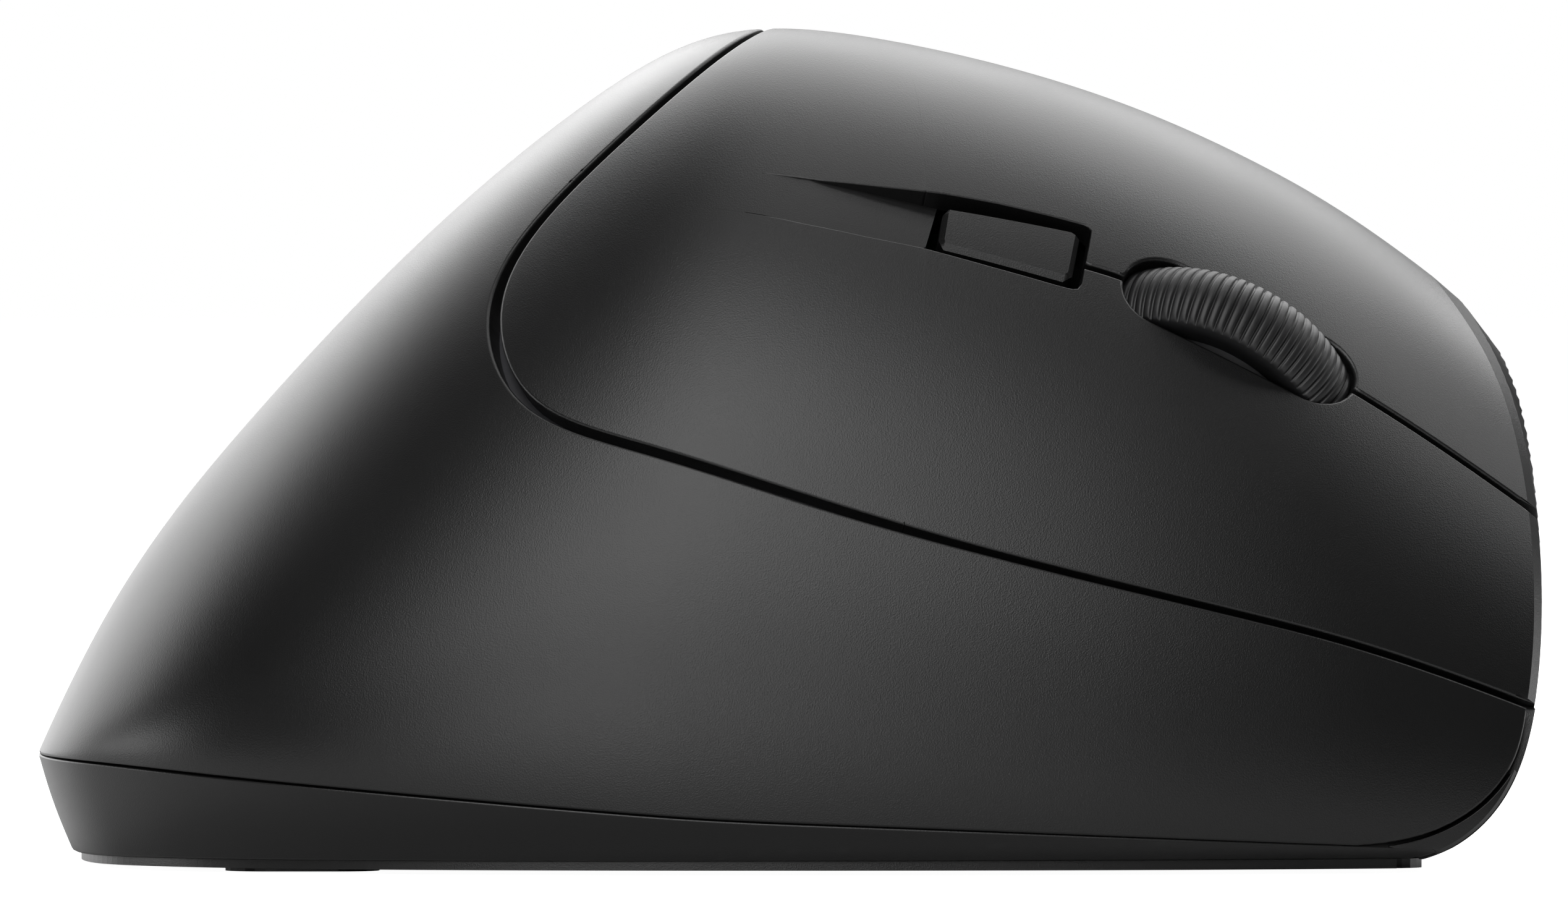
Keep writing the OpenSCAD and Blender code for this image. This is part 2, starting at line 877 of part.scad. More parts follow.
module main_board() {
  color("green") difference() {
    translate([main_rear, -main_half, main_z]) cube([main_front - main_rear, 2 * main_half, main_t]);
    translate([sensor_x, 0, main_z - 1]) cylinder(d = lens_core_d + 1, h = main_t + 2);
  }
}

module sensor() {
  color("black") translate([sensor_x - sensor_w / 2, -sensor_w / 2, main_z + main_t])
    cube([sensor_w, sensor_w, sensor_t]);
}

module sensor_lens() {
  color("white") translate([sensor_x, 0, floor_top]) {
    translate([-lens_l / 2, -lens_w / 2, 0]) cube([lens_l, lens_w, main_z - floor_top - 1]);
    translate([0, 0, -1]) cylinder(d = lens_d, h = 2);
    cylinder(d = lens_core_d, h = main_z - floor_top);
  }
}

module ribbon_cable() {
  color("white") intersection() {
    translate([ribbon_x, ribbon_y, main_z + main_t]) cube([ribbon_t, ribbon_w, 50]);
    under_board();
  }
}

module battery_cradle() {
  color("gray") difference() {
    translate([bay_rear - cradle_t, -bay_half - cradle_t, floor_top])
      cube([bay_front - bay_rear + 2 * cradle_t, 2 * (bay_half + cradle_t), cradle_tall]);
    translate([bay_rear, -bay_half, floor_top - 1])
      cube([bay_front - bay_rear, 2 * bay_half, cradle_tall + 2]);
  }
}

module cell() {
  rotate([0, 90, 0]) {
    cylinder(d = cell_d, h = cell_l - nub_l);
    cylinder(d = nub_d, h = cell_l);
  }
}

module left_cell() {
  color("silver") translate([cell_rear, cell_y, cell_z]) cell();
}

module right_cell() {
  color("silver") translate([cell_rear + cell_l, -cell_y, cell_z]) rotate([0, 0, 180]) cell();
}

// contact strip across the bay with one coned spring that leads towards a cell
module contacts(x, spring_y, lead) {
  spring_l = lead > 0 ? cell_rear - x - contact_t : x - cell_rear - cell_l;
  translate([x, -bay_half + 1, floor_top + 1]) cube([contact_t, 2 * bay_half - 2, cradle_tall + 1.5]);
  translate([lead > 0 ? x + contact_t : x, spring_y, cell_z]) rotate([0, 90 * lead, 0])
    cylinder(d1 = 6, d2 = 4, h = spring_l - touch);
}

module rear_contacts() {
  color("silver") contacts(bay_rear + 2 * touch, cell_y, 1);
}

module front_contacts() {
  color("silver") contacts(bay_front - contact_t - 2 * touch, -cell_y, -1);
}

module battery_door() {
  color("dimgray") translate([(bay_rear + bay_front) / 2, 0, floor_low]) difference() {
    linear_extrude(floor_t - door_under)
      rounded(bay_front - bay_rear - 2 * door_gap, 2 * (bay_half - door_gap), 2);
    translate([dish_x, 0, -1]) pill(dish_l, dish_w, 1 + dish_deep);
  }
}

module power_switch() {
  slot_room = power_travel + slider_l + 2 * slider_gap;
  color("black") difference() {
    translate([power_x - power_l / 2, power_y - power_w / 2, floor_top])
      cube([power_l, power_w, main_z - floor_top]);
    translate([power_x - slot_room / 2, power_y - slider_w / 2 - slider_gap, floor_top - 1])
      cube([slot_room, slider_w + 2 * slider_gap, 3]);
  }
}

module power_slider() {
  color("white") translate([power_x - (power_travel + slider_l) / 2, power_y - slider_w / 2, slider_low])
    cube([slider_l, slider_w, floor_t + 1]);
}

module plug_block() {
  translate([plug_front - plug_l, receiver_y - plug_w / 2, floor_low + plug_up]) cube([plug_l, plug_w, plug_t]);
}

module receiver_plug() {
  color("silver") plug_block();
}

module receiver_cap() {
  color("black") difference() {
    translate([plug_front - cap_over, receiver_y - cap_w / 2, floor_low + cap_up]) cube([cap_l, cap_w, cap_t]);
    plug_block();
  }
}

module foot_pad(l, w) {
  linear_extrude(foot_t) rounded(l, w, foot_r);
}

// pocket for a glide foot
module foot_pocket(l, w) {
  translate([0, 0, -1]) linear_extrude(1 + foot_t)
    rounded(l + 2 * foot_fit, w + 2 * foot_fit, foot_r + foot_fit);
}

module front_foot() {
  color("black") translate([front_foot_x, 0, 0]) foot_pad(front_foot_l, front_foot_w);
}

module left_rear_foot() {
  color("black") translate([rear_foot_x, rear_foot_y, 0]) foot_pad(rear_foot_l, rear_foot_w);
}

module right_rear_foot() {
  color("black") translate([rear_foot_x, -rear_foot_y, 0]) foot_pad(rear_foot_l, rear_foot_w);
}

module screw() {
  cylinder(d = screw_head_d, h = screw_head_t);
  cylinder(d = screw_d, h = screw_l);
}

module left_screw() {
  color("silver") translate([screw_x, screw_y, floor_low + screw_sink]) screw();
}

module right_screw() {
  color("silver") translate([screw_x, -screw_y, floor_low + screw_sink]) screw();
}

function flat(line) = [for (p = line) [p[0], p[1]]];
function turned(line) = [for (i = [len(line) - 1 : -1 : 0]) line[i]];

module foot_outline() {
  polygon(concat(flat(right_foot_line), turned(flat(left_foot_line))));
}

function middles(line) = [for (i = [0 : len(line) - 2]) (line[i] + line[i + 1]) / 2];

// the same outline between the stations
module inner_outline() {
  polygon(concat(middles(flat(right_foot_line)), turned(middles(flat(left_foot_line)))));
}

// walls of the receiver pocket and the two screw posts
module base_posts(low) {
  translate([receiver_x, receiver_y, low]) linear_extrude(pocket_top + pocket_wall - low)
    rounded(pocket_l + 2 * pocket_wall, pocket_w + 2 * pocket_wall, 1.5);
  for (y = [-1, 1]) translate([screw_x, y * screw_y, low]) cylinder(d = boss_d, h = boss_top - low);
}

// tray before it is hollowed: skirt, nose strip and floor
module base_block() {
  intersection() {
    union() {
      skirt_form();
      intersection() {
        whole_form();
        through() nose_strip_area();
      }
      translate([0, 0, floor_low]) linear_extrude(1) offset(delta = -step_in) foot_outline();
    }
    through() nose_area();
  }
  translate([front_foot_x, 0, floor_low]) linear_extrude(floor_t)
    rounded(front_foot_l + foot_frame, front_foot_w + 2 * foot_frame, foot_r + foot_frame / 2);
  base_posts(floor_low + 0.3);
}

module base() {
  color("dimgray") difference() {
    base_block();
    difference() {
      intersection() {
        translate([0, 0, floor_top]) linear_extrude(30) offset(delta = -wall) inner_outline();
        through() offset(delta = -wall) nose_area();
      }
      base_posts(0);
    }
    translate([front_foot_x, 0, 0]) foot_pocket(front_foot_l, front_foot_w);
    for (y = [-1, 1]) translate([rear_foot_x, y * rear_foot_y, 0]) foot_pocket(rear_foot_l, rear_foot_w);
    translate([(bay_rear + bay_front) / 2, 0, -1])
      linear_extrude(9) rounded(bay_front - bay_rear, 2 * bay_half, 2 + door_gap);
    translate([receiver_x, receiver_y, -1]) linear_extrude(1 + pocket_top) rounded(pocket_l, pocket_w, 1);
    translate([sensor_x, 0, -1]) linear_extrude(9) rounded(window_l, window_w, 2);
    translate([power_x, power_y, -1]) linear_extrude(9)
      rounded(power_travel + slider_l + 1, slider_w + 2 * slider_gap, 0.8);
    for (y = [-1, 1]) translate([screw_x, y * screw_y, -1]) {
      cylinder(d = screw_head_d + 2 * door_gap, h = 1 + floor_low + screw_sink + screw_head_t, $fn = 24);
      cylinder(d = screw_d + 2 * tact_gap, h = 12, $fn = 24);
      translate([0, 0, 1 + boss_top]) cylinder(d = post_in_d + 2 * door_gap, h = 12, $fn = 24);
    }
  }
}

base();
body_shell();
thumb_panel();
finger_plate();
upper_key();
lower_key();
resolution_button();
forward_button();
back_button();
wheel_tyre();
wheel_hub();
wheel_yoke();
yoke_guides();
switch_board();
switch_frame();
upper_switch();
upper_plunger();
lower_switch();
lower_plunger();
wheel_switch();
wheel_plunger();
resolution_switch();
resolution_plunger();
thumb_board();
forward_switch();
forward_plunger();
back_switch();
back_plunger();
pulse_emitter();
pulse_detector();
main_board();
sensor();
sensor_lens();
ribbon_cable();
battery_cradle();
left_cell();
right_cell();
rear_contacts();
front_contacts();
battery_door();
power_switch();
power_slider();
receiver_plug();
receiver_cap();
front_foot();
left_rear_foot();
right_rear_foot();
left_screw();
right_screw();
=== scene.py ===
import json
import math

import bpy
import numpy as np
from mathutils import Vector
from mathutils.geometry import delaunay_2d_cdt
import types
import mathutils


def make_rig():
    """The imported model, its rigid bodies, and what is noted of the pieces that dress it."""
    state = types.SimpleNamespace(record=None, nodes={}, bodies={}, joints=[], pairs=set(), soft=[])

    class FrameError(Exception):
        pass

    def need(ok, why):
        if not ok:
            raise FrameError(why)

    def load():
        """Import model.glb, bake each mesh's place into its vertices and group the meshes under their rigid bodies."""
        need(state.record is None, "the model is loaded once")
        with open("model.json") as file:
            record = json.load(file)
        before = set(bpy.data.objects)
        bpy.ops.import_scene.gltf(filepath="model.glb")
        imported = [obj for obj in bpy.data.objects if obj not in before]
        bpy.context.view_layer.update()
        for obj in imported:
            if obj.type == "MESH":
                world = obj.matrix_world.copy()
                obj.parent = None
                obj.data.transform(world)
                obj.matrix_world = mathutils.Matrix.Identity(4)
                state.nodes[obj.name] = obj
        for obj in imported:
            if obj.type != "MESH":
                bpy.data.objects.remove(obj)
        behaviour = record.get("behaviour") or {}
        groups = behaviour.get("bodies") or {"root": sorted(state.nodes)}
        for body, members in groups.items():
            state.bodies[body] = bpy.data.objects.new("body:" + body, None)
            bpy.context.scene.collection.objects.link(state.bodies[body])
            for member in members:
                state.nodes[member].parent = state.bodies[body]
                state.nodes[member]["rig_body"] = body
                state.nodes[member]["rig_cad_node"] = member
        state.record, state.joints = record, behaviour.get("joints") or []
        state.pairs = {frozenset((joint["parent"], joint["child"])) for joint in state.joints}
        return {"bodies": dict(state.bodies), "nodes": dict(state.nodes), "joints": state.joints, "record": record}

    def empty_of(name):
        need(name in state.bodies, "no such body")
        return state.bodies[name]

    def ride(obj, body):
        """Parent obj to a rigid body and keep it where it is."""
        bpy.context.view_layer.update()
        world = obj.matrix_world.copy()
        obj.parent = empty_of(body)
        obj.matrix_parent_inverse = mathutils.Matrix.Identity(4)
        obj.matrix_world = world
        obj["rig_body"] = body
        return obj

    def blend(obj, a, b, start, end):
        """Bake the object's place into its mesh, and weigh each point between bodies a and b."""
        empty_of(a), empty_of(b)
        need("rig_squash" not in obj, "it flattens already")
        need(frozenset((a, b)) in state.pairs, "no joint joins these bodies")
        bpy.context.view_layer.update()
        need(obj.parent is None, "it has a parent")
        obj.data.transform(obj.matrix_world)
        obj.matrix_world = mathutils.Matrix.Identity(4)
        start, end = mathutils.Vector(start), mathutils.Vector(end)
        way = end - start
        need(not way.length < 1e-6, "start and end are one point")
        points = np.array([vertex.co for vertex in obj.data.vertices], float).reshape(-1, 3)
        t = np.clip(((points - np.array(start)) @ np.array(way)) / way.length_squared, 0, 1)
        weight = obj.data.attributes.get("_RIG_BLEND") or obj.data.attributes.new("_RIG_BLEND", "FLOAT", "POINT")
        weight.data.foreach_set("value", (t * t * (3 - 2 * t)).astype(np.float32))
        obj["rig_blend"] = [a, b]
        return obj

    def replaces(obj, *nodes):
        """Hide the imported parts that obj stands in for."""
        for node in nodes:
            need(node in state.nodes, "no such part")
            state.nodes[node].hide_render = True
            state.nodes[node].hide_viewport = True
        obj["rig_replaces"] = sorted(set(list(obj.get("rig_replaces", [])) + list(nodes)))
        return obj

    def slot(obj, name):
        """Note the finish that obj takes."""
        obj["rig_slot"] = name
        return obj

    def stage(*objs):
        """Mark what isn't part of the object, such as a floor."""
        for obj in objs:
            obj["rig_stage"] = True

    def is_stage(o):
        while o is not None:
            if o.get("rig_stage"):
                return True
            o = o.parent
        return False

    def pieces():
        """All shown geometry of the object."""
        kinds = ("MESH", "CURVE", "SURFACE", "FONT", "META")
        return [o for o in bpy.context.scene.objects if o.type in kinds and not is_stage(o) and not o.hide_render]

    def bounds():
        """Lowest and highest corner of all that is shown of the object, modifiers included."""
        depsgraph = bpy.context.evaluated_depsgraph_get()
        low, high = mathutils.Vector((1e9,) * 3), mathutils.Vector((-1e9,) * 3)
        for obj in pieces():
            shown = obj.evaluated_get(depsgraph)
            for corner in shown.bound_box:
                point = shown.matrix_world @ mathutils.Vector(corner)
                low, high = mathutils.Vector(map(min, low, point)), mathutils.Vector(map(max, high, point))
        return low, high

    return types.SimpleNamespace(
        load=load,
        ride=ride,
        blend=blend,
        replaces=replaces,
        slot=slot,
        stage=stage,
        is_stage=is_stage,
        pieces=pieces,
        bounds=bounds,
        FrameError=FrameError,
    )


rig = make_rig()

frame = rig.load()
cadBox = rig.bounds()
nodes = frame["nodes"]
mm = 0.001
print("frame loaded")

# the photograph's view: almost level, square to the right side, long lens
view = {"distance": 2.5, "tilt": 1.0, "centre": (-0.35, 30.84), "frameWidth": 116.8, "midDepth": -6,
        "sensor": 36, "clipEnd": 20}


def makeCamera():
    lens = bpy.data.cameras.new("viewCamera")
    cam = bpy.data.objects.new("viewCamera", lens)
    bpy.context.scene.collection.objects.link(cam)
    lens.sensor_width = view["sensor"]
    lens.lens = view["sensor"] * view["distance"] / (view["frameWidth"] * mm)
    lens.clip_end = view["clipEnd"]
    tilt = math.radians(view["tilt"])
    aim = Vector((view["centre"][0], view["midDepth"], view["centre"][1])) * mm
    cam.location = aim + Vector((0, -math.cos(tilt), math.sin(tilt))) * view["distance"]
    cam.rotation_euler = (math.pi / 2 - tilt, 0, 0)
    bpy.context.scene.camera = cam


makeCamera()

# body form, in millimetres: a net of guide points under one smooth skin
bodyForm = {
    # x, right rim y, ridge y, ridge z, left rim y, thumb hollow, rim z
    "stations": [
        (-56, 0, 0, 8.2, 0, 0, 8.2), (-56, -16, 0, 8.2, 16, 0, 8.2), (-51, -25, 1, 20, 24.5, 0, 8),
        (-41, -32.5, 3, 32.5, 31, 0.1, 7), (-27, -36.5, 6, 47.5, 35, 0.4, 5.8),
        (-14, -37.8, 8, 58, 37, 0.8, 4.7), (-5, -38, 9, 63, 37.5, 1, 4), (6, -38, 9.5, 62, 37.5, 1, 3.6),
        (20, -37.2, 10, 58.8, 36.5, 1, 3), (34, -35.5, 9.5, 53.4, 34.5, 1, 2.4),
        (48, -32, 8, 45, 31, 1, 1.8), (64, -24, 5, 30, 25, 1, 1.2)],
    # shares of the way across and up, from the right rim over the ridge to the left rim
    "rightRows": [(0, 0), (-0.02, 0.14), (0.06, 0.42), (0.33, 0.76), (0.66, 0.97), (1, 1.01)],
    "hollowRows": [(0.24, 0.97), (0.34, 0.78), (0.24, 0.45), (0.45, 0.16), (1, 0)],
    "roundRows": [(0.34, 0.97), (0.67, 0.76), (0.94, 0.42), (1.02, 0.14), (1, 0)],
    "spacing": 0.62,
    # the skin closes to a point at the tail, so nothing is measured right there
    "tail": 0.0008, "slopeTail": 0.0005, "edgeTail": 0.0006,
}


def curveShares(count, t):
    # share of each guide point in a smooth cubic curve
    knots = np.clip(np.arange(count + 4) - 3, 0, count - 3).astype(float)
    s = np.clip(np.asarray(t, float) * (count - 3), 0, count - 3 - 1e-9)
    rows = [((s >= knots[i]) & (s < knots[i + 1])).astype(float) for i in range(count + 3)]
    for k in (1, 2, 3):
        fresh = []
        for i in range(count + 3 - k):
            left = knots[i + k] - knots[i]
            right = knots[i + k + 1] - knots[i + 1]
            part = np.zeros_like(s)
            if left > 0:
                part = part + (s - knots[i]) / left * rows[i]
            if right > 0:
                part = part + (knots[i + k + 1] - s) / right * rows[i + 1]
            fresh.append(part)
        rows = fresh
    return np.stack(rows, 1)


def smoothLine(points, steps):
    return curveShares(len(points), np.linspace(0, 1, steps + 1)) @ np.array(points, float)


def guideNet():
    net = []
    for x, yr, yt, zt, yl, hollow, zb in bodyForm["stations"]:
        row = [(x, yr + f * (yt - yr), zb + g * (zt - zb)) for f, g in bodyForm["rightRows"]]
        for (f1, g1), (f0, g0) in zip(bodyForm["hollowRows"], bodyForm["roundRows"]):
            f, g = f0 + hollow * (f1 - f0), g0 + hollow * (g1 - g0)
            row.append((x, yt + f * (yl - yt), zb + g * (zt - zb)))
        net.append(row)
    return np.array(net)


skinNet = guideNet()


def skinAt(uv):
    along = curveShares(skinNet.shape[0], uv[:, 0])
    across = curveShares(skinNet.shape[1], uv[:, 1])
    mid = np.tensordot(along, skinNet, axes=(1, 0))
    return np.einsum("nj,njk->nk", across, mid)


def slopes(surface, uv, step=2e-4):
    out = []
    for k, lowest in enumerate((bodyForm["slopeTail"], 0)):
        low, high = uv.copy(), uv.copy()
        low[:, k] = np.clip(uv[:, k] - step, lowest, 1)
        high[:, k] = np.clip(uv[:, k] + step, 0, 1)
        gap = np.maximum(high[:, k] - low[:, k], 1e-9)
        out.append((surface(high) - surface(low)) / gap[:, None])
    return out


def unit(v):
    return v / np.maximum(np.linalg.norm(v, axis=-1, keepdims=True), 1e-12)


# axes of the slanted finger side: along it, up it and out of it
pitch = math.radians(18)
diagonal = 0.5 ** 0.5
slantA = np.array((math.cos(pitch), diagonal * math.sin(pitch), -diagonal * math.sin(pitch)))
slantW = np.array((0, diagonal, diagonal))
slantH = np.array((math.sin(pitch), -diagonal * math.cos(pitch), diagonal * math.cos(pitch)))

# long outlines drawn on the body: steps, guide points, and corners that close them well outside it
outlines = {
    "nose": (70, [(44, 0.4), (47, 0.8), (51, 2.5), (54.8, 8), (56.1, 18), (55.7, 28), (53.6, 37.5),
                  (48.3, 45), (42, 52), (38, 58)], [(38, 90), (-80, 90), (-80, -9), (44, -9)]),
    "strip": (40, [(42, 1.95), (45.5, 2.1), (49.5, 3.4), (53, 6.4), (54.4, 9.2), (54.8, 12.2)],
              [(70, 12.2), (70, -9), (42, -9)]),
    "plate": (110, [(-8, 64), (-10.5, 55), (-15, 46), (-24, 33), (-32, 24), (-35, 15), (-33, 4.5), (-25.5, 0),
                    (-10, -5.4), (6, -8.5), (22, -10.2), (44, -10.6), (62, -10.4)], [(62, 64)]),
    "split": (40, [(-9, 18.8), (5, 18.2), (10, 17.4), (28, 11.1), (44, 5.4), (60, 0)], [(60, 90), (-9, 90)]),
    "thumb": (70, [(-36, -4), (-33, 14), (-25, 31), (-12, 44.5), (6, 51), (24, 49.5), (40, 43), (52, 33.5),
                   (64, 22)], [(64, -9), (-36, -9)]),
}
closed = {}
for name, (steps, guides, corners) in outlines.items():
    closed[name] = np.vstack([smoothLine(guides, steps), corners])

seams = {
    "gap": 0.2, "splitGap": 0.25, "plateLowest": 14, "thumbIn": 8, "thumbInShare": 0.5,
    # the plate's seam opens a little towards its rear
    "rearGap": 0.1, "rearFrom": 2, "rearOver": 14,
    # line where the keys bend, and the room they need below it
    "flexLine": -5.05, "rootGap": 0.006, "rootSwing": 0.0135, "rootHeight": 45.8,
    "wheel": (18.8, 14.4, 41), "wheelYaw": -19.5, "slot": (18.85, 6.8),
    "button": [(-4.2, 17.9), (5.8, 16), (6.6, 21.4), (-3.7, 22.1)], "buttonCorner": 0.45,
    # opening round the button, and the tapered recess behind it
    "frame": [(-9, 23.3), (-3.6, 23.25), (0.3, 22.94), (4.3, 22.42), (7.4, 21.95), (6.4, 15.05),
              (4.3, 15.4), (-0.4, 16.35), (-5.2, 17.4), (-9, 17.95)], "frameCorner": 0.75,
    "scoop": [(-18.4, 20.1), (-16.9, 24), (-12.7, 23.45), (-8.2, 23.28), (-3.6, 23.25), (-1, 23.05),
              (-1, 16.45), (-5.2, 17.4), (-9.5, 18.05), (-14, 18.95)],
}


def loopField(q, loop):
    # distance to a closed outline, positive inside
    loop = np.asarray(loop, float)
    best = np.full(len(q), 1e9)
    inside = np.zeros(len(q), bool)
    for p0, p1 in zip(loop, np.roll(loop, -1, 0)):
        d = p1 - p0
        size = d @ d
        if size < 1e-12:
            continue
        t = np.clip(((q - p0) @ d) / size, 0, 1)
        best = np.minimum(best, np.linalg.norm(q - p0 - t[:, None] * d, axis=1))
        if p0[1] != p1[1]:
            hit = (p0[1] > q[:, 1]) != (p1[1] > q[:, 1])
            inside ^= hit & (q[:, 0] < p0[0] + (q[:, 1] - p0[1]) * d[0] / d[1])
    return np.where(inside, best, -best)


def slanted(p):
    return np.stack([p @ slantA, p @ slantW], 1)


def sideways(p):
    return p[:, [0, 2]]


def noseField(p):
    return loopField(sideways(p), closed["nose"])


def stripField(p):
    return loopField(sideways(p), closed["strip"])


def plateField(p):
    return np.minimum(loopField(slanted(p), closed["plate"]), p @ slantH - seams["plateLowest"])


def widened(p):
    return seams["rearGap"] * np.clip((seams["rearFrom"] - p @ slantA) / seams["rearOver"], 0, 1)


def plateIn(p):
    return plateField(p) - widened(p)


def plateOut(p):
    return -plateField(p) - widened(p)


def splitField(p):
    return loopField(slanted(p), closed["split"])


def thumbField(p):
    inward = (p[:, 1] - seams["thumbIn"]) * seams["thumbInShare"]
    return np.minimum(loopField(sideways(p), closed["thumb"]), inward)


def flexField(p):
    return p @ slantA - seams["flexLine"]


def keyRoot(p):
    # the keys turn about a line inside, so what lies below it needs room to swing back
    depth = np.maximum(seams["rootHeight"] - p @ slantH, 0)
    return flexField(p) - seams["rootGap"] - seams["rootSwing"] * depth


def slotField(p):
    # distance outside the wheel's opening
    turn = math.radians(-seams["wheelYaw"])
    a, w = p @ slantA - seams["wheel"][0], p @ slantW - seams["wheel"][1]
    along = a * math.cos(turn) - w * math.sin(turn)
    across = a * math.sin(turn) + w * math.cos(turn)
    length, width = seams["slot"]
    reach = np.clip(along, -(length - width) / 2, (length - width) / 2)
    return np.hypot(along - reach, across) - width / 2


def roundLoop(points, r, steps=5):
    # outline with its corners rounded
    pts = np.array(points, float)
    out = []
    for k in range(len(pts)):
        before, here, after = pts[k - 1], pts[k], pts[(k + 1) % len(pts)]
        d0, d1 = unit(before - here), unit(after - here)
        half = math.acos(np.clip(d0 @ d1, -1, 1)) / 2
        reach = r / math.tan(half)
        a, b = here + d0 * reach, here + d1 * reach
        for s in np.linspace(0, 1, steps):
            out.append((1 - s) ** 2 * a + 2 * s * (1 - s) * here + s * s * b)
    return np.array(out)


buttonLoop = roundLoop(seams["button"], seams["buttonCorner"])
frameLoop = roundLoop(seams["frame"], seams["frameCorner"])


def buttonField(p):
    return loopField(slanted(p), buttonLoop)


def frameField(p):
    return -loopField(slanted(p), frameLoop)


def scoopField(p):
    return -loopField(slanted(p), seams["scoop"])


rimLine = skinAt(np.stack([np.linspace(0.0, 1, 400), np.zeros(400)], 1))


def rimField(p):
    # height above the line where body and base part
    return p[:, 2] - np.interp(p[:, 0], rimLine[:, 0], rimLine[:, 2])


thumbCaps = {"tilt": -7, "half": 5.4, "width": 6, "bow": 0.32, "edgeSlope": 3, "gap": 0.35, "rise": 0.88,
             "roll": 0.75, "wall": 2.6,
             "places": {"backCap": ("back_button", (2.5, 40.5)),
                        "forwardCap": ("forward_button", (22, 40.5))}}


def capField(centre):
    # distance outside one of the two thumb buttons
    def field(p):
        turn = math.radians(thumbCaps["tilt"])
        q = sideways(p) - centre
        along = q[:, 0] * math.cos(turn) + q[:, 1] * math.sin(turn)
        across = q[:, 1] * math.cos(turn) - q[:, 0] * math.sin(turn)
        reach = np.clip(along, -thumbCaps["half"], thumbCaps["half"])
        bow = thumbCaps["bow"] * (reach / thumbCaps["half"]) ** 2
        return np.maximum(np.hypot(along - reach, across - bow) - thumbCaps["width"] / 2,
                          (seams["thumbIn"] - p[:, 1]) * thumbCaps["edgeSlope"])

    return field


def inverse(field):
    return lambda p: -field(p)


def level(amount):
    return lambda p: np.full(len(p), amount)


def limit(field, keep, roll=0.0, kind="seam"):
    return {"field": field, "keep": keep + roll, "roll": roll, "kind": kind}


# cutting patches along a rule's line
cutting = {"nudges": 3, "probe": 0.02, "flattest": 0.05, "onLine": 0.004, "halvings": 16, "snap": 0.2,
           "spanGrid": (260, 200), "spanMargin": 0.8, "spanPad": 0.008}


def sidesOf(tri):
    a, b, c = (int(i) for i in tri)
    return (a, b), (b, c), (c, a)


def nudgePoints(surface, uv, value, locked, snap):
    # moves the points close to the line onto it
    probe = cutting["probe"]
    val = value(uv)
    for _ in range(cutting["nudges"]):
        close = np.where((np.abs(val) < snap) & ~locked)[0]
        if not len(close):
            break
        at = uv[close]
        du, dv = slopes(surface, at)
        su, sv = np.linalg.norm(du, axis=1) + 1e-9, np.linalg.norm(dv, axis=1) + 1e-9
        gu = (value(np.stack([np.clip(at[:, 0] + probe / su, 0, 1), at[:, 1]], 1)) - val[close]) / probe
        gv = (value(np.stack([at[:, 0], np.clip(at[:, 1] + probe / sv, 0, 1)], 1)) - val[close]) / probe
        size = np.maximum(gu * gu + gv * gv, cutting["flattest"])
        uv[close, 0] = np.clip(at[:, 0] - val[close] * gu / size / su, 0, 1)
        uv[close, 1] = np.clip(at[:, 1] - val[close] * gv / size / sv, 0, 1)
        val[close] = value(uv[close])
    val[np.abs(val) < cutting["onLine"]] = 0
    return val


def crossings(uv, pairs, val, value):
    # where the line crosses each edge from outside to inside
    a, b = uv[pairs[:, 0]], uv[pairs[:, 1]]
    flip = val[pairs[:, 0]] > 0
    low, high = np.where(flip[:, None], b, a), np.where(flip[:, None], a, b)
    for _ in range(cutting["halvings"]):
        mid = (low + high) / 2
        up = value(mid) > 0
        high[up], low[~up] = mid[up], mid[~up]
    return (low + high) / 2


def cutPatch(surface, uv, tris, rule, locked, snap):
    # keeps the part of the patch where the rule's field is at least its limit
    def value(at):
        return rule["field"](surface(at)) - rule["keep"]

    val = nudgePoints(surface, uv, value, locked, snap)
    locked = locked | (val == 0)
    sign = np.sign(val).astype(int)
    s = sign[tris]
    keep = (s.min(1) >= 0) & (s.max(1) > 0)
    flat = (s == 0).all(1)
    if flat.any():
        mids = uv[tris[flat]].mean(1)
        keep[np.where(flat)[0][value(mids) > 0]] = True
    mixed = tris[(s.min(1) < 0) & (s.max(1) > 0)]
    edges = {}
    for tri in mixed:
        for i, j in sidesOf(tri):
            if sign[i] * sign[j] < 0:
                edges[(min(i, j), max(i, j))] = None
    if edges:
        start = len(uv)
        uv = np.vstack([uv, crossings(uv, np.array(list(edges)), val, value)])
        locked = np.concatenate([locked, np.ones(len(edges), bool)])
        for n, key in enumerate(edges):
            edges[key] = start + n
    fresh = [tuple(t) for t in tris[keep]]
    for tri in mixed:
        ring = []
        for i, j in sidesOf(tri):
            if sign[i] >= 0:
                ring.append(i)
            if sign[i] * sign[j] < 0:
                ring.append(edges[(min(i, j), max(i, j))])
        for k in range(1, len(ring) - 1):
            fresh.append((ring[0], ring[k], ring[k + 1]))
    tris = np.array(fresh, int).reshape(-1, 3)
    used = np.unique(tris)
    back = np.full(len(uv), -1)
    back[used] = np.arange(len(used))
    return uv[used], back[tris], locked[used]


def cutSurface(surface, uSpan, vSpan, grid, rules, snap):
    us, vs = np.linspace(*uSpan, grid[0]), np.linspace(*vSpan, grid[1])
    uu, vv = np.meshgrid(us, vs, indexing="ij")
    uv = np.stack([uu.ravel(), vv.ravel()], 1)
    idx = np.arange(len(uv)).reshape(grid)
    a, b, c, d = idx[:-1, :-1].ravel(), idx[1:, :-1].ravel(), idx[1:, 1:].ravel(), idx[:-1, 1:].ravel()
    tris = np.vstack([np.stack([a, b, c], 1), np.stack([a, c, d], 1)])
    locked = np.zeros(len(uv), bool)
    for rule in rules:
        uv, tris, locked = cutPatch(surface, uv, tris, rule, locked, snap)
    return uv, tris


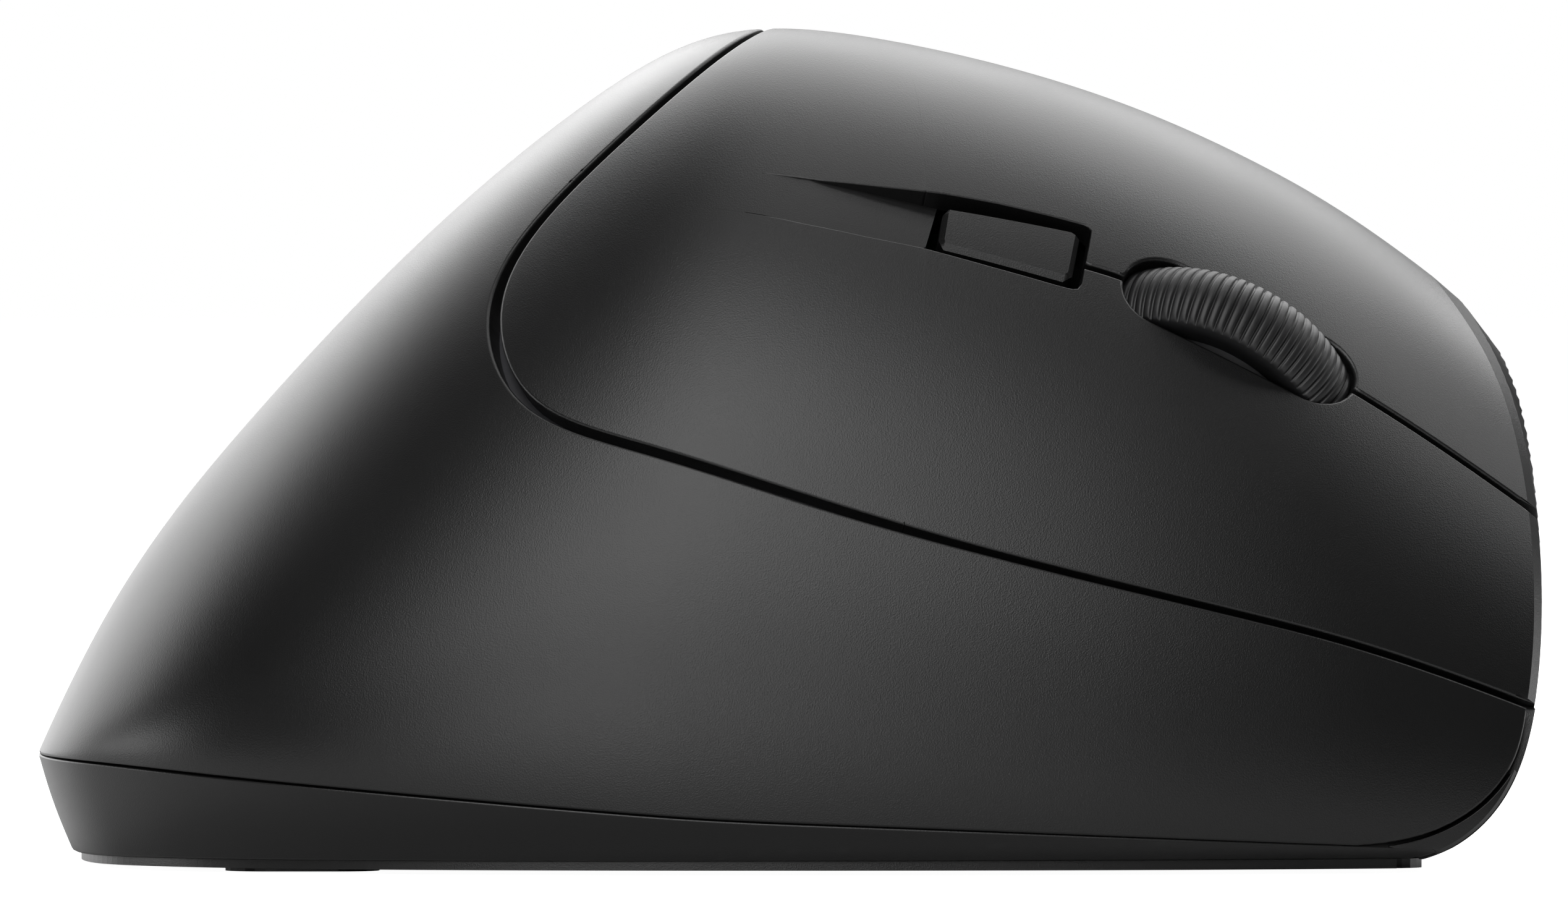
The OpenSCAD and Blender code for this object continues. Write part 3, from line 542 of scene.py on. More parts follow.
def edgeLoops(tris):
    following = {}
    pairs = set()
    for t in tris:
        pairs.update(sidesOf(t))
    for i, j in pairs:
        if (j, i) not in pairs:
            following.setdefault(i, []).append(j)
    loops = []
    while following:
        here = next(iter(following))
        loop = []
        while here in following:
            loop.append(here)
            ways = following[here]
            step = ways.pop()
            if not ways:
                del following[here]
            here = step
        if len(loop) > 2:
            loops.append(loop)
    return loops


def makeMesh(name, points, faces, normals, body, material, slot=None, replaced=(), bend=None):
    # points in millimetres; normals one for each face corner, or None
    mesh = bpy.data.meshes.new(name)
    corners = [tuple(int(i) for i in f) for f in faces]
    mesh.from_pydata((np.asarray(points, float) * mm).tolist(), [], corners)
    mesh.polygons.foreach_set("use_smooth", [True] * len(mesh.polygons))
    mesh.update()
    if normals is not None:
        mesh.normals_split_custom_set([tuple(n) for n in unit(np.asarray(normals, float))])
    piece = bpy.data.objects.new(name, mesh)
    bpy.context.scene.collection.objects.link(piece)
    mesh.materials.append(material)
    if bend:
        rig.blend(piece, body, *bend)
    else:
        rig.ride(piece, body)
    if slot:
        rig.slot(piece, slot)
    if replaced:
        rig.replaces(piece, *replaced)
    return piece


# edges of the shells; a roll or chamfer reaches out at most a few times its size
edging = {"step": 1e-4, "near": 0.03, "probe": 0.01, "lipWall": 1.2, "chamfer": 0.55, "chamferUp": 0.45,
          "noseMost": 2.0, "rollMost": 3, "sameWay": 0.05, "rollSteps": (0, 0.33, 0.67, 1.0)}


def edgeRules(surface, uv, rim, du, dv, rules):
    # for each edge point, the rules that cut there and the way their fields rise along the surface
    step = edging["step"]
    at, a, b = uv[rim], du[rim], dv[rim]
    aa, ab, bb = (a * a).sum(1), (a * b).sum(1), (b * b).sum(1)
    det = np.maximum(aa * bb - ab * ab, 1e-9)
    su = np.where(at[:, 0] + step > 1, -step, step)
    sv = np.where(at[:, 1] + step > 1, -step, step)
    live = [[] for _ in rim]
    for rule in rules:
        base = rule["field"](surface(at))
        fu = (rule["field"](surface(at + np.stack([su, 0 * su], 1))) - base) / su
        fv = (rule["field"](surface(at + np.stack([0 * sv, sv], 1))) - base) / sv
        rise = a * ((bb * fu - ab * fv) / det)[:, None] + b * ((aa * fv - ab * fu) / det)[:, None]
        for k in np.where(np.abs(base - rule["keep"]) < edging["near"])[0]:
            live[k].append((rule, rise[k]))
    return {int(v): found for v, found in zip(rim, live)}


def noseRing(at, here, up, rule, rise, wall, lip, lipWall, chamfer):
    # a chamfer, then a lip that turns in behind the nose's outline
    size = np.linalg.norm(rise)
    probe = edging["probe"]
    fx = rule["field"](at + (probe, 0, 0))[0] - rule["field"](at)[0]
    fz = rule["field"](at + (0, 0, probe))[0] - rule["field"](at)[0]
    front = unit(-np.array((fx, 0, fz)))
    down = unit(-up + (up @ front) * front)
    edge = here - rise / size * min(rule["roll"] / size, edging["noseMost"])
    slope = unit(up * edging["chamferUp"] + front * (1 - edging["chamferUp"]))
    reach = lip(here) if callable(lip) else lip
    ring = [here, edge + down * chamfer, edge + down * chamfer, edge + down * reach,
            edge + down * reach - front * lipWall, edge + down * wall - front * lipWall]
    return ring, [slope, slope, front, front, -front, -front]


def seamMove(up, live, before, after):
    # how far an edge point moves out, which way it faces, and its roll
    most = edging["rollMost"]
    if not live:
        return np.zeros(3), unit(np.cross(after - before, up)), 0.0
    if len(live) == 1:
        rule, rise = live[0]
        size = np.linalg.norm(rise)
        out, roll = -rise / size, rule["roll"]
        return out * min(roll / size, most * roll), out, roll
    (r1, g1), (r2, g2) = live[0], live[1]
    roll = max(r1["roll"], r2["roll"])
    mat = np.array([[g1 @ g1, g1 @ g2], [g1 @ g2, g2 @ g2]])
    if np.linalg.det(mat) > edging["sameWay"]:
        s = np.linalg.solve(mat, [-r1["roll"], -r2["roll"]])
        move = g1 * s[0] + g2 * s[1]
    else:
        move = -unit(g1 + g2) * roll
    length = np.linalg.norm(move)
    if length > most * roll + 1e-9:
        move = move * most * roll / length
    return move, unit(-g1 - g2), roll


def seamRing(here, up, move, out, roll, wall, bevelled):
    # rolled or bevelled edge with a wall below it
    foot = here + move - up * wall
    if bevelled:
        edge = here + move - up * roll
        return [here, edge, edge, (edge + foot) / 2, foot, foot], [unit(out + up)] * 2 + [out] * 4
    ring, turns = [], []
    for share in edging["rollSteps"]:
        angle = share * math.pi / 2
        ring.append(here + move * math.sin(angle) - up * roll * (1 - math.cos(angle)))
        turns.append(out * math.sin(angle) + up * math.cos(angle) if roll > 0 else out)
    return ring + [foot, foot], turns + [out, out]


def sideFaces(points, columns, faces, normals):
    # quads between neighbouring edge rings
    for (i0, t0, nose0), (i1, t1, nose1) in zip(columns, columns[1:] + columns[:1]):
        for s in range(len(t0) - 1):
            quad = (i0 + s, i0 + s + 1, i1 + s + 1, i1 + s)
            a, b, c, d = (np.asarray(points[i]) for i in quad)
            flat = np.cross(c - a, d - b)
            if np.linalg.norm(flat) < 1e-7:
                continue
            faces.append(quad)
            if nose0 and nose1:
                normals.extend([t0[s] if s % 2 == 0 else t0[s + 1]] * 4)
            elif nose0 or nose1:
                normals.extend([flat] * 4)
            else:
                normals.extend([t0[s], t0[s + 1], t1[s + 1], t1[s]])


def shellParts(surface, uv, tris, rules, wall, lift=None, lip=0.0, lipWall=edging["lipWall"],
               chamfer=edging["chamfer"]):
    # closed shell: outer face, rolled or chamfered edges, walls and inner face
    p = surface(uv)
    du, dv = slopes(surface, np.clip(uv, bodyForm["edgeTail"], 1))
    n = unit(np.cross(du, dv))
    if lift is not None:
        p = p + n * lift(p)[:, None]
    points = list(p) + list(p - n * wall)
    inner = np.arange(len(p)) + len(p)
    faces, normals = list(tris), []
    for t in tris:
        normals.extend(n[t])
    loops = edgeLoops(tris)
    rim = np.array([v for loop in loops for v in loop], int)
    edgeOf = edgeRules(surface, uv, rim, du, dv, rules)
    for loop in loops:
        columns = []
        for pos, v in enumerate(loop):
            live = edgeOf[v]
            nose = [pair for pair in live if pair[0]["kind"] == "nose"]
            if nose:
                at = surface(uv[v:v + 1])
                ring, turns = noseRing(at, p[v], n[v], *nose[0], wall, lip, lipWall, chamfer)
            else:
                before, after = p[loop[pos - 1]], p[loop[(pos + 1) % len(loop)]]
                bevelled = any(rule["kind"] == "bevel" for rule, rise in live)
                ring, turns = seamRing(p[v], n[v], *seamMove(n[v], live, before, after), wall, bevelled)
            columns.append((len(points), turns, bool(nose)))
            points.extend(ring)
            points[inner[v]] = ring[-1]
        sideFaces(points, columns, faces, normals)
    for t in tris:
        faces.append(inner[t][::-1])
        normals.extend(-n[t[::-1]])
    return points, faces, normals


def joinParts(parts):
    points, faces, normals = [], [], []
    for pts, fcs, nrm in parts:
        shift = len(points)
        points.extend(pts)
        faces.extend([tuple(i + shift for i in f) for f in fcs])
        normals.extend(nrm)
    return points, faces, normals


# moulded plastics: fine leather-like grain, a little uneven gloss
plastics = {
    "shell": {"dark": 0.002, "light": 0.004, "rough": (0.33, 0.41), "grain": 9400, "depth": 0.017},
    "thumb": {"dark": 0.002, "light": 0.005, "rough": (0.42, 0.52), "grain": 9800, "depth": 0.017},
    "base": {"dark": 0.002, "light": 0.004, "rough": (0.32, 0.4), "grain": 9800, "depth": 0.013},
    "button": {"dark": 0.002, "light": 0.0045, "rough": (0.31, 0.4), "grain": 9400, "depth": 0.016},
}
# the edge factors here set how much paler outward edges are painted, partly as wear, partly as a painted highlight
grainForm = {"smooth": 0.55, "speckTimes": 1.9, "speckDetail": 3, "speckShare": 0.6, "cloud": 60, "detail": 4,
             "bump": 0.55, "blue": 1.02, "worn": 3, "plainBump": 0.3, "plainWorn": 1.6, "glossSpread": 0.12}
# pointiness range over which outward edges are painted paler: wear together with a painted highlight
edgeWearAndHighlightRange = {"From Min": 0.53, "From Max": 0.68}


def nodeSet(name):
    mat = bpy.data.materials.new(name)
    mat.use_nodes = True
    tree = mat.node_tree
    shader = tree.nodes["Principled BSDF"]
    return mat, tree, shader


def addNode(tree, kind, inputs=None, **settings):
    node = tree.nodes.new(kind)
    for key, value in settings.items():
        setattr(node, key, value)
    for key, value in (inputs or {}).items():
        node.inputs[key].default_value = value
    return node


def paleEdgesWearAndHighlight(tree, shader, colour, patches, worn):
    # outward edges painted a little paler, in patches: partly rubbed wear, partly a painted highlight along the edges
    link = tree.links.new
    shape = addNode(tree, "ShaderNodeNewGeometry")
    wornAndLitEdge = addNode(tree, "ShaderNodeMapRange", edgeWearAndHighlightRange)
    link(shape.outputs["Pointiness"], wornAndLitEdge.inputs["Value"])
    amount = addNode(tree, "ShaderNodeMath", operation="MULTIPLY")
    link(wornAndLitEdge.outputs["Result"], amount.inputs[0])
    link(patches, amount.inputs[1])
    blend = addNode(tree, "ShaderNodeMix", data_type="RGBA")
    link(amount.outputs[0], blend.inputs["Factor"])
    # sockets 6 and 7 are the mix node's two colours, output 2 its colour
    link(colour, blend.inputs[6])
    blend.inputs[7].default_value = (worn, worn, worn, 1)
    link(blend.outputs[2], shader.inputs["Base Color"])


def toneAndGloss(tree, shader, tint, cloud, colours, rough):
    # colour runs between two tones and roughness between two levels
    link = tree.links.new
    tone = addNode(tree, "ShaderNodeValToRGB")
    for stop, colour in zip(tone.color_ramp.elements, colours):
        stop.color = colour + (1,)
    link(tint, tone.inputs["Fac"])
    gloss = addNode(tree, "ShaderNodeMapRange", {"To Min": rough[0], "To Max": rough[1]})
    link(cloud, gloss.inputs["Value"])
    link(gloss.outputs["Result"], shader.inputs["Roughness"])
    return tone.outputs["Color"]


def addBump(tree, shader, height, strength, depth):
    bump = addNode(tree, "ShaderNodeBump", {"Strength": strength, "Distance": depth * mm})
    tree.links.new(height, bump.inputs["Height"])
    tree.links.new(bump.outputs["Normal"], shader.inputs["Normal"])


def grainedPlastic(name, dark, light, rough, grain, depth):
    mat, tree, shader = nodeSet(name)
    link = tree.links.new
    place = addNode(tree, "ShaderNodeTexCoord")
    cells = addNode(tree, "ShaderNodeTexVoronoi",
                    {"Scale": grain, "Smoothness": grainForm["smooth"], "Randomness": 1}, feature="SMOOTH_F1")
    speck = addNode(tree, "ShaderNodeTexNoise",
                    {"Scale": grain * grainForm["speckTimes"], "Detail": grainForm["speckDetail"]})
    cloud = addNode(tree, "ShaderNodeTexNoise", {"Scale": grainForm["cloud"], "Detail": grainForm["detail"]})
    for tex in (cells, speck, cloud):
        link(place.outputs["Object"], tex.inputs["Vector"])
    mix = addNode(tree, "ShaderNodeMath", {1: grainForm["speckShare"]}, operation="MULTIPLY_ADD")
    link(speck.outputs["Fac"], mix.inputs[0])
    link(cells.outputs["Distance"], mix.inputs[2])
    addBump(tree, shader, mix.outputs[0], grainForm["bump"], depth)
    colours = [(c, c, c * grainForm["blue"]) for c in (dark, light)]
    colour = toneAndGloss(tree, shader, speck.outputs["Fac"], cloud.outputs["Fac"], colours, rough)
    # outward edges painted paler: wear together with a painted highlight
    paleEdgesWearAndHighlight(tree, shader, colour, cloud.outputs["Fac"], light * grainForm["worn"])
    return mat


def plainGrain(name, colour, rough, metal=0.0, scale=900, bumpDepth=0.01, spread=0.12):
    mat, tree, shader = nodeSet(name)
    place = addNode(tree, "ShaderNodeTexCoord")
    noise = addNode(tree, "ShaderNodeTexNoise", {"Scale": scale, "Detail": grainForm["detail"]})
    tree.links.new(place.outputs["Object"], noise.inputs["Vector"])
    grey = noise.outputs["Fac"]
    colours = [tuple(c * (1 - spread) for c in colour), tuple(min(1, c * (1 + spread)) for c in colour)]
    levels = (rough * (1 - grainForm["glossSpread"]), min(1, rough * (1 + grainForm["glossSpread"])))
    tone = toneAndGloss(tree, shader, grey, grey, colours, levels)
    # outward edges painted paler: wear together with a painted highlight
    paleEdgesWearAndHighlight(tree, shader, tone, grey, min(1, max(colour) * grainForm["plainWorn"]))
    addBump(tree, shader, grey, grainForm["plainBump"], bumpDepth)
    shader.inputs["Metallic"].default_value = metal
    return mat


shellPlastic = grainedPlastic("shellPlastic", **plastics["shell"])
thumbPlastic = grainedPlastic("thumbPlastic", **plastics["thumb"])
basePlastic = grainedPlastic("basePlastic", **plastics["base"])
buttonPlastic = grainedPlastic("buttonPlastic", **plastics["button"])
tyreRubber = plainGrain("tyreRubber", (0.006, 0.006, 0.0065), 0.46, scale=2600, bumpDepth=0.02)
hubPlastic = plainGrain("hubPlastic", (0.09, 0.09, 0.095), 0.4, scale=1500)
innerPlastic = plainGrain("innerPlastic", (0.05, 0.05, 0.055), 0.5, scale=1200)
switchPlastic = plainGrain("switchPlastic", (0.012, 0.012, 0.013), 0.42, scale=1500)
plungerRed = plainGrain("plungerRed", (0.42, 0.03, 0.025), 0.4, scale=1500)
whitePlastic = plainGrain("whitePlastic", (0.72, 0.71, 0.68), 0.42, scale=1200, spread=0.04)
boardGreen = plainGrain("boardGreen", (0.02, 0.11, 0.05), 0.45, scale=700)
cellWrap = plainGrain("cellWrap", (0.16, 0.17, 0.19), 0.35, scale=500)
steel = plainGrain("steel", (0.62, 0.61, 0.59), 0.3, metal=1.0, scale=1400, spread=0.08)
glideFoot = plainGrain("glideFoot", (0.016, 0.016, 0.017), 0.3, scale=1600)
lensClear = plainGrain("lensClear", (0.75, 0.78, 0.8), 0.12, scale=500, spread=0.03)
lensClear.node_tree.nodes["Principled BSDF"].inputs["Transmission Weight"].default_value = 0.85
print("materials ready")

# which CAD nodes each material covers
finishes = {
    tyreRubber: ("wheel_tyre",), hubPlastic: ("wheel_hub",),
    innerPlastic: ("wheel_yoke", "yoke_guides", "switch_frame", "battery_cradle"),
    switchPlastic: ("upper_switch", "lower_switch", "wheel_switch", "resolution_switch",
                    "forward_switch", "back_switch", "pulse_emitter", "pulse_detector", "sensor",
                    "power_switch", "receiver_cap"),
    plungerRed: ("upper_plunger", "lower_plunger"),
    whitePlastic: ("wheel_plunger", "resolution_plunger", "forward_plunger", "back_plunger",
                   "ribbon_cable", "power_slider"),
    boardGreen: ("switch_board", "thumb_board", "main_board"), cellWrap: ("left_cell", "right_cell"),
    steel: ("rear_contacts", "front_contacts", "receiver_plug", "left_screw", "right_screw"),
    glideFoot: ("front_foot", "left_rear_foot", "right_rear_foot"), lensClear: ("sensor_lens",),
    basePlastic: ("base", "battery_door"),
    shellPlastic: ("body_shell", "finger_plate", "upper_key", "lower_key"),
    thumbPlastic: ("thumb_panel",),
    buttonPlastic: ("resolution_button", "forward_button", "back_button"),
}
for finish, names in finishes.items():
    for name in names:
        data = nodes[name].data
        data.materials.clear()
        data.materials.append(finish)

# shells of the upper body
shells = {
    "wall": 1.7, "roll": 0.22, "rimGap": 0.08, "rimRoll": 0.2, "noseIn": 0.12, "noseChamfer": 0.6,
    "bodyLip": 1.9, "thumbLip": 4, "keyLip": 5.4, "ridgeLess": 2.2, "ridgeAt": 7.5, "ridgeWide": 4.5,
    "keyRoom": 0.7, "scoopRoll": 0.11, "frameRoll": 0.12, "slotRoll": 0.3, "capRoll": 0.25,
    "bodySpan": ((bodyForm["tail"], 1), (0.0, 1.0)), "keySpan": ((0.3, 1), (0.02, 0.85)),
    "thumbSpan": ((0.1, 1), (0.5, 1)),
    "web": {"clear": 0.001, "top": 46.2, "wall": 0.4, "reach": 0.12, "fromSplit": 1, "spacing": 0.5,
            "snap": 0.02, "across": 30, "height": 38},
    "ledge": {"half": 1.5, "drop": 1.9, "fall": 0.017, "wall": 0.5, "spacing": 0.9, "fromThumb": 0.6,
              "fromNose": 4, "fromRim": 3},
}


def ledgeDrop(p):
    # deeper under the keys, which move
    return -shells["ledge"]["drop"] - shells["ledge"]["fall"] * np.maximum(flexField(p), 0)


def keyLip(p):
    # shorter round the ridge, where a long lip would fold into itself
    ridge = np.exp(-((p[..., 1] - shells["ridgeAt"]) / shells["ridgeWide"]) ** 2)
    return shells["keyLip"] - shells["ridgeLess"] * ridge


def gridFor(uSpan, vSpan, spacing, samples=40, lines=7):
    # how many rows give about that spacing on the skin
    us, vs = np.linspace(*uSpan, samples), np.linspace(*vSpan, samples)
    longest = max(np.linalg.norm(np.diff(skinAt(np.stack([us, us * 0 + v], 1)), axis=0), axis=1).sum()
                  for v in np.linspace(*vSpan, lines))
    widest = max(np.linalg.norm(np.diff(skinAt(np.stack([vs * 0 + u, vs], 1)), axis=0), axis=1).sum()
                 for u in np.linspace(*uSpan, lines))
    return int(longest / spacing) + 2, int(widest / spacing) + 2


def spanOf(rules):
    # the stretch of the skin on which a piece lies
    tail, pad = bodyForm["tail"], cutting["spanPad"]
    us, vs = np.linspace(tail, 1, cutting["spanGrid"][0]), np.linspace(0, 1, cutting["spanGrid"][1])
    uu, vv = np.meshgrid(us, vs, indexing="ij")
    uv = np.stack([uu.ravel(), vv.ravel()], 1)
    p = skinAt(uv)
    live = np.ones(len(uv), bool)
    for rule in rules:
        live &= rule["field"](p) > rule["keep"] - cutting["spanMargin"]
    low, high = uv[live].min(0) - pad, uv[live].max(0) + pad
    return (max(low[0], tail), min(high[0], 1.0)), (max(low[1], 0.0), min(high[1], 1.0))


def skinPart(rules, wall, span=None, spacing=bodyForm["spacing"], snap=cutting["snap"], **edge):
    # one shell cut out of the body's skin
    span = span or spanOf(rules)
    uv, tris = cutSurface(skinAt, *span, gridFor(*span, spacing), rules, snap)
    return shellParts(skinAt, uv, tris, rules, wall, **edge)


keySides = (("upper_key", "upperKey", "keyWeb", splitField),
            ("lower_key", "lowerKey", "lowerWeb", inverse(splitField)))
gap, roll, wall = seams["gap"], shells["roll"], shells["wall"]
front = limit(noseField, shells["noseIn"], shells["noseChamfer"], "nose")
offThumb = limit(inverse(thumbField), gap, roll)
offStrip = limit(inverse(stripField), gap, roll)
overRim = limit(rimField, shells["rimGap"], shells["rimRoll"])


def makeBodyAndPlate():
    # palm and right side, then the fixed rear of the finger plate
    rules = [limit(plateOut, gap, roll), offThumb, offStrip, overRim, front]
    part = skinPart(rules, wall, shells["bodySpan"], lip=shells["bodyLip"])
    makeMesh("bodyShell", *part, "body", shellPlastic, "shell_black", ("body_shell",))
    rules = [limit(plateIn, gap, roll), offThumb, limit(inverse(flexField), 0, 0, "flush"),
             limit(scoopField, 0, shells["scoopRoll"])]
    part = skinPart(rules, wall)
    makeMesh("fingerPlate", *part, "body", shellPlastic, "shell_black", ("finger_plate",))
    print("body and plate ready")


def makeKeys():
    shared = [limit(plateIn, gap, roll), limit(keyRoot, 0, 0, "flush"),
              limit(frameField, 0, shells["frameRoll"]), limit(slotField, 0, shells["slotRoll"]), front]
    for body, name, _, side in keySides:
        rules = [limit(inverse(thumbField), shells["keyRoom"], roll), limit(side, seams["splitGap"], roll)]
        part = skinPart(rules + shared, wall, shells["keySpan"], lip=keyLip)
        makeMesh(name, *part, body, shellPlastic, "shell_black", (body,))
    print("keys ready")


def makeWebs():
    # thin webs across the line where the keys bend
    web = shells["web"]
    root = (slantA * seams["flexLine"] + slantW * web["across"] + slantH * web["height"]) * mm
    for body, _, name, side in keySides:
        rules = [limit(flexField, web["clear"], 0, "flush"),
                 limit(inverse(keyRoot), web["clear"], 0, "flush"),
                 limit(plateIn, gap + roll), limit(inverse(thumbField), shells["keyRoom"] + roll),
                 limit(side, web["fromSplit"]), limit(lambda p: web["top"] - p @ slantH, 0)]
        part = skinPart(rules, web["wall"], spacing=web["spacing"], snap=web["snap"])
        makeMesh(name, *part, "body", shellPlastic, "shell_black",
                 bend=(body, tuple(root), tuple(root + slantA * web["reach"] * mm)))
    print("webs ready")


def makeLedges():
    # ledges that close the seams from within
    ledge = shells["ledge"]
    offNose = limit(noseField, ledge["fromNose"])
    others = {"plateLedge": (plateField, [limit(inverse(thumbField), ledge["fromThumb"]), offNose]),
              "thumbLedge": (thumbField, [offNose, limit(rimField, ledge["fromRim"])])}
    for name, (field, more) in others.items():
        rules = [limit(field, -ledge["half"]), limit(inverse(field), -ledge["half"])] + more
        part = skinPart(rules, ledge["wall"], spacing=ledge["spacing"], lift=ledgeDrop)
        makeMesh(name, *part, "body", innerPlastic, "shell_black")
    print("ledges ready")


def makeThumbPanel():
    rules = [limit(thumbField, gap, roll), offStrip, overRim, front]
    for _, centre in thumbCaps["places"].values():
        rules.append(limit(capField(centre), thumbCaps["gap"], shells["capRoll"]))
    part = skinPart(rules, wall, shells["thumbSpan"], lip=shells["thumbLip"])
    makeMesh("thumbPanel", *part, "body", thumbPlastic, "thumb_panel_black", ("thumb_panel",))
    print("thumb panel ready")


makeBodyAndPlate()
makeKeys()
makeWebs()
makeLedges()
makeThumbPanel()

# resolution button in its dark opening, the floor of the recess that leads to it, and the thumb buttons
smallForms = {"drop": 0.1, "bevel": 0.4, "wall": 2.0, "lowest": 40, "spacing": 0.4, "snap": 0.12}
recess = {
    "over": 0.004, "depth": 1.5, "rear": -13.6, "front": -4.2, "wall": 0.8,
    "lineDepth": 0.13, "lineFrom": -16.9, "lineOver": 2.5,
    "lowEdge": [(-18.4, 20.1), (-14, 18.95), (-9.5, 18.05), (-5.2, 17.4)],
    "highEdge": [(-16.9, 24), (-12.7, 23.45), (-8.2, 23.28), (-3.6, 23.25)],
    # a little longer than the recess, so that the floor's rear end doesn't show
    "floor": [(-20.5, 20.6), (-20.5, 24.5), (-16.9, 24), (-12.7, 23.45), (-8.2, 23.28), (-4.0, 23.25),
              (-5.15, 17.4), (-9.5, 18.05), (-14, 18.95)],
}


def recessLift(p):
    # about level with the plate along the lower line, deepest by the button's upper corner
    a, w = slanted(p).T
    way = np.clip((a - recess["rear"]) / (recess["front"] - recess["rear"]), 0, 1)
    line = np.clip((a - recess["lineFrom"]) / recess["lineOver"], 0, 1)
    low = np.interp(a, *zip(*recess["lowEdge"]))
    high = np.interp(a, *zip(*recess["highEdge"]))
    side = np.clip((w - low) / (high - low), 0, 1)
    return recess["over"] - side * recess["depth"] * way - recess["lineDepth"] * line


def makeSmallForms():
    fine = {"spacing": smallForms["spacing"], "snap": smallForms["snap"]}
    upper = limit(lambda p: p @ slantH - smallForms["lowest"], 0, 0, "flush")
    rules = [upper, limit(buttonField, 0, smallForms["bevel"], "bevel")]
    part = skinPart(rules, smallForms["wall"], lift=level(-smallForms["drop"]), **fine)
    makeMesh("resolutionCap", *part, "resolution_button", buttonPlastic, "button_black",
             ("resolution_button",))
    rules = [upper, limit(lambda p: loopField(slanted(p), recess["floor"]), 0)]
    part = skinPart(rules, recess["wall"], lift=recessLift, **fine)
    makeMesh("scoopFloor", *part, "body", shellPlastic, "shell_black")
    for name, (node, centre) in thumbCaps["places"].items():
        rules = [limit(inverse(capField(centre)), 0, thumbCaps["roll"])]
        part = skinPart(rules, thumbCaps["wall"], lift=level(thumbCaps["rise"]), **fine)
        makeMesh(name, *part, node, buttonPlastic, "button_black", (node,))
    print("small forms ready")


makeSmallForms()

# base tray: leaning skirt, strips up the nose, front wall and floor
tray = {
    "lean": 2.6, "foot": 0.9, "bulge": 0.18, "wall": 1.4, "rimGap": 0.06, "rimRoll": 0.12,
    "footRoll": 0.3, "noseRoll": 0.25, "ends": (0.02, 0.98), "grid": (420, 16), "snap": 0.06,
    "floor": 0.35, "pocket": 0.75, "floorTop": 2.2, "stepIn": 0.6, "floorFront": 46.4, "floorSteps": 260,
    # openings in the floor: place, length, width, corner; screw holes: place, diameter
    "holes": [(-21.75, 0, 48.5, 24, 2.3), (-17.75, -23, 20, 13.8, 1), (26, 0, 12, 8, 2),
              (12, -16, 5.5, 2.6, 0.8)],
    "screws": [(-46.4, -19, 5), (-46.4, 19, 5)],
    "feet": [(40, 0, 14.1, 34.1, 3.05), (-36, -20, 11.5, 10.1, 3.05), (-36, 20, 11.5, 10.1, 3.05)],
}
strips = {"top": 12.2, "gap": 0.04, "topGap": 0.05, "roll": 0.06, "noseRoll": 0.24, "wall": 1.2,
          "edge": {"lip": 1.2, "lipWall": 1.0, "chamfer": 0.3}, "spacing": 0.3, "snap": 0.08,
          "spans": (((0.6, 1), (0.0, 0.3)), ((0.6, 1), (0.7, 1.0)))}
nose = {"steps": 400, "every": 4, "grid": (120, 90), "snap": 0.1, "back": 0.02, "roll": 0.15, "wall": 1.5,
        "baseIn": 0.9, "baseWall": 1.2, "overStrip": 0.15, "keyGap": 1.05, "thumbGap": 0.2, "thumbIn": 3.8,
        "fill": {"top": 28.5, "overStrip": 0.3, "inset": 3.9, "right": 4, "left": 1,
                 "wall": 1.2, "drop": 0.3}}


def skirtAt(uv):
    t = uv[:, 0] * 2 - 1
    share = np.clip(np.abs(t), 1e-5, 1)
    left = t > 0
    side = np.where(left, 1.0, 0.0)

    def rim(s):
        return skinAt(np.stack([np.clip(s, 0, 1), side], 1))

    here = rim(share)
    way = rim(share + 4e-4) - rim(share - 4e-4)
    way = unit(way[:, :2])
    inward = np.stack([-way[:, 1], way[:, 0]], 1) * np.where(left, -1.0, 1.0)[:, None]
    foot = np.concatenate([here[:, :2] + tray["lean"] * inward, np.full((len(here), 1), tray["foot"])], 1)
    bulge = tray["bulge"] * np.sin(np.pi * uv[:, 1])
    flat = here + (foot - here) * uv[:, 1:2]
    flat[:, :2] -= inward * bulge[:, None]
    return flat


def frontTable():
    # side outline of the nose with the skin's reach to the right and to the left
    line = smoothLine(outlines["nose"][1], nose["steps"])
    us = np.linspace(0, 1, 600)
    xs = skinAt(np.stack([us, us * 0], 1))[:, 0]
    vs = np.linspace(0, 1, 500)
    rows = []
    for x, z in line[::nose["every"]]:
        u = np.interp(x, xs, us)
        cut = skinAt(np.stack([vs * 0 + u, vs], 1))
        top = int(cut[:, 2].argmax())
        if z > cut[top, 2]:
            break
        right = np.interp(z, cut[:top + 1, 2], cut[:top + 1, 1])
        left = np.interp(z, cut[top:, 2][::-1], cut[top:, 1][::-1])
        drop = max(0.0, cut[0, 2] - z) / max(cut[0, 2] - tray["foot"], 0.2) * tray["lean"]
        rows.append((x, z, right + min(drop, tray["lean"]), left - min(drop, tray["lean"])))
    return np.array(rows)


frontRows = frontTable()
frontEdge = np.vstack([frontRows[:, [0, 2, 1]], frontRows[::-1][:, [0, 3, 1]]])


def frontAt(uv):
    s = uv[:, 0] * (len(frontRows) - 1)
    row = np.stack([np.interp(s, np.arange(len(frontRows)), frontRows[:, k]) for k in range(4)], 1)
    y = row[:, 3] + (row[:, 2] - row[:, 3]) * uv[:, 1]
    return np.stack([row[:, 0] - nose["back"], y, row[:, 1]], 1)


def fromEdge(p):
    # distance from the edge of the nose's opening
    best = np.full(len(p), 1e9)
    for a, b in zip(frontEdge[:-1], frontEdge[1:]):
        d = b - a
        t = np.clip(((p - a) @ d) / max(d @ d, 1e-9), 0, 1)
        best = np.minimum(best, np.linalg.norm(p - a - t[:, None] * d, axis=1))
    return best


def fromLip(p):
    return fromEdge(p) - keyLip(p)


def above(height):
    return lambda p: p[:, 2] - height


def below(height):
    return lambda p: height - p[:, 2]


def leftOf(place):
    return lambda p: p[:, 1] - place


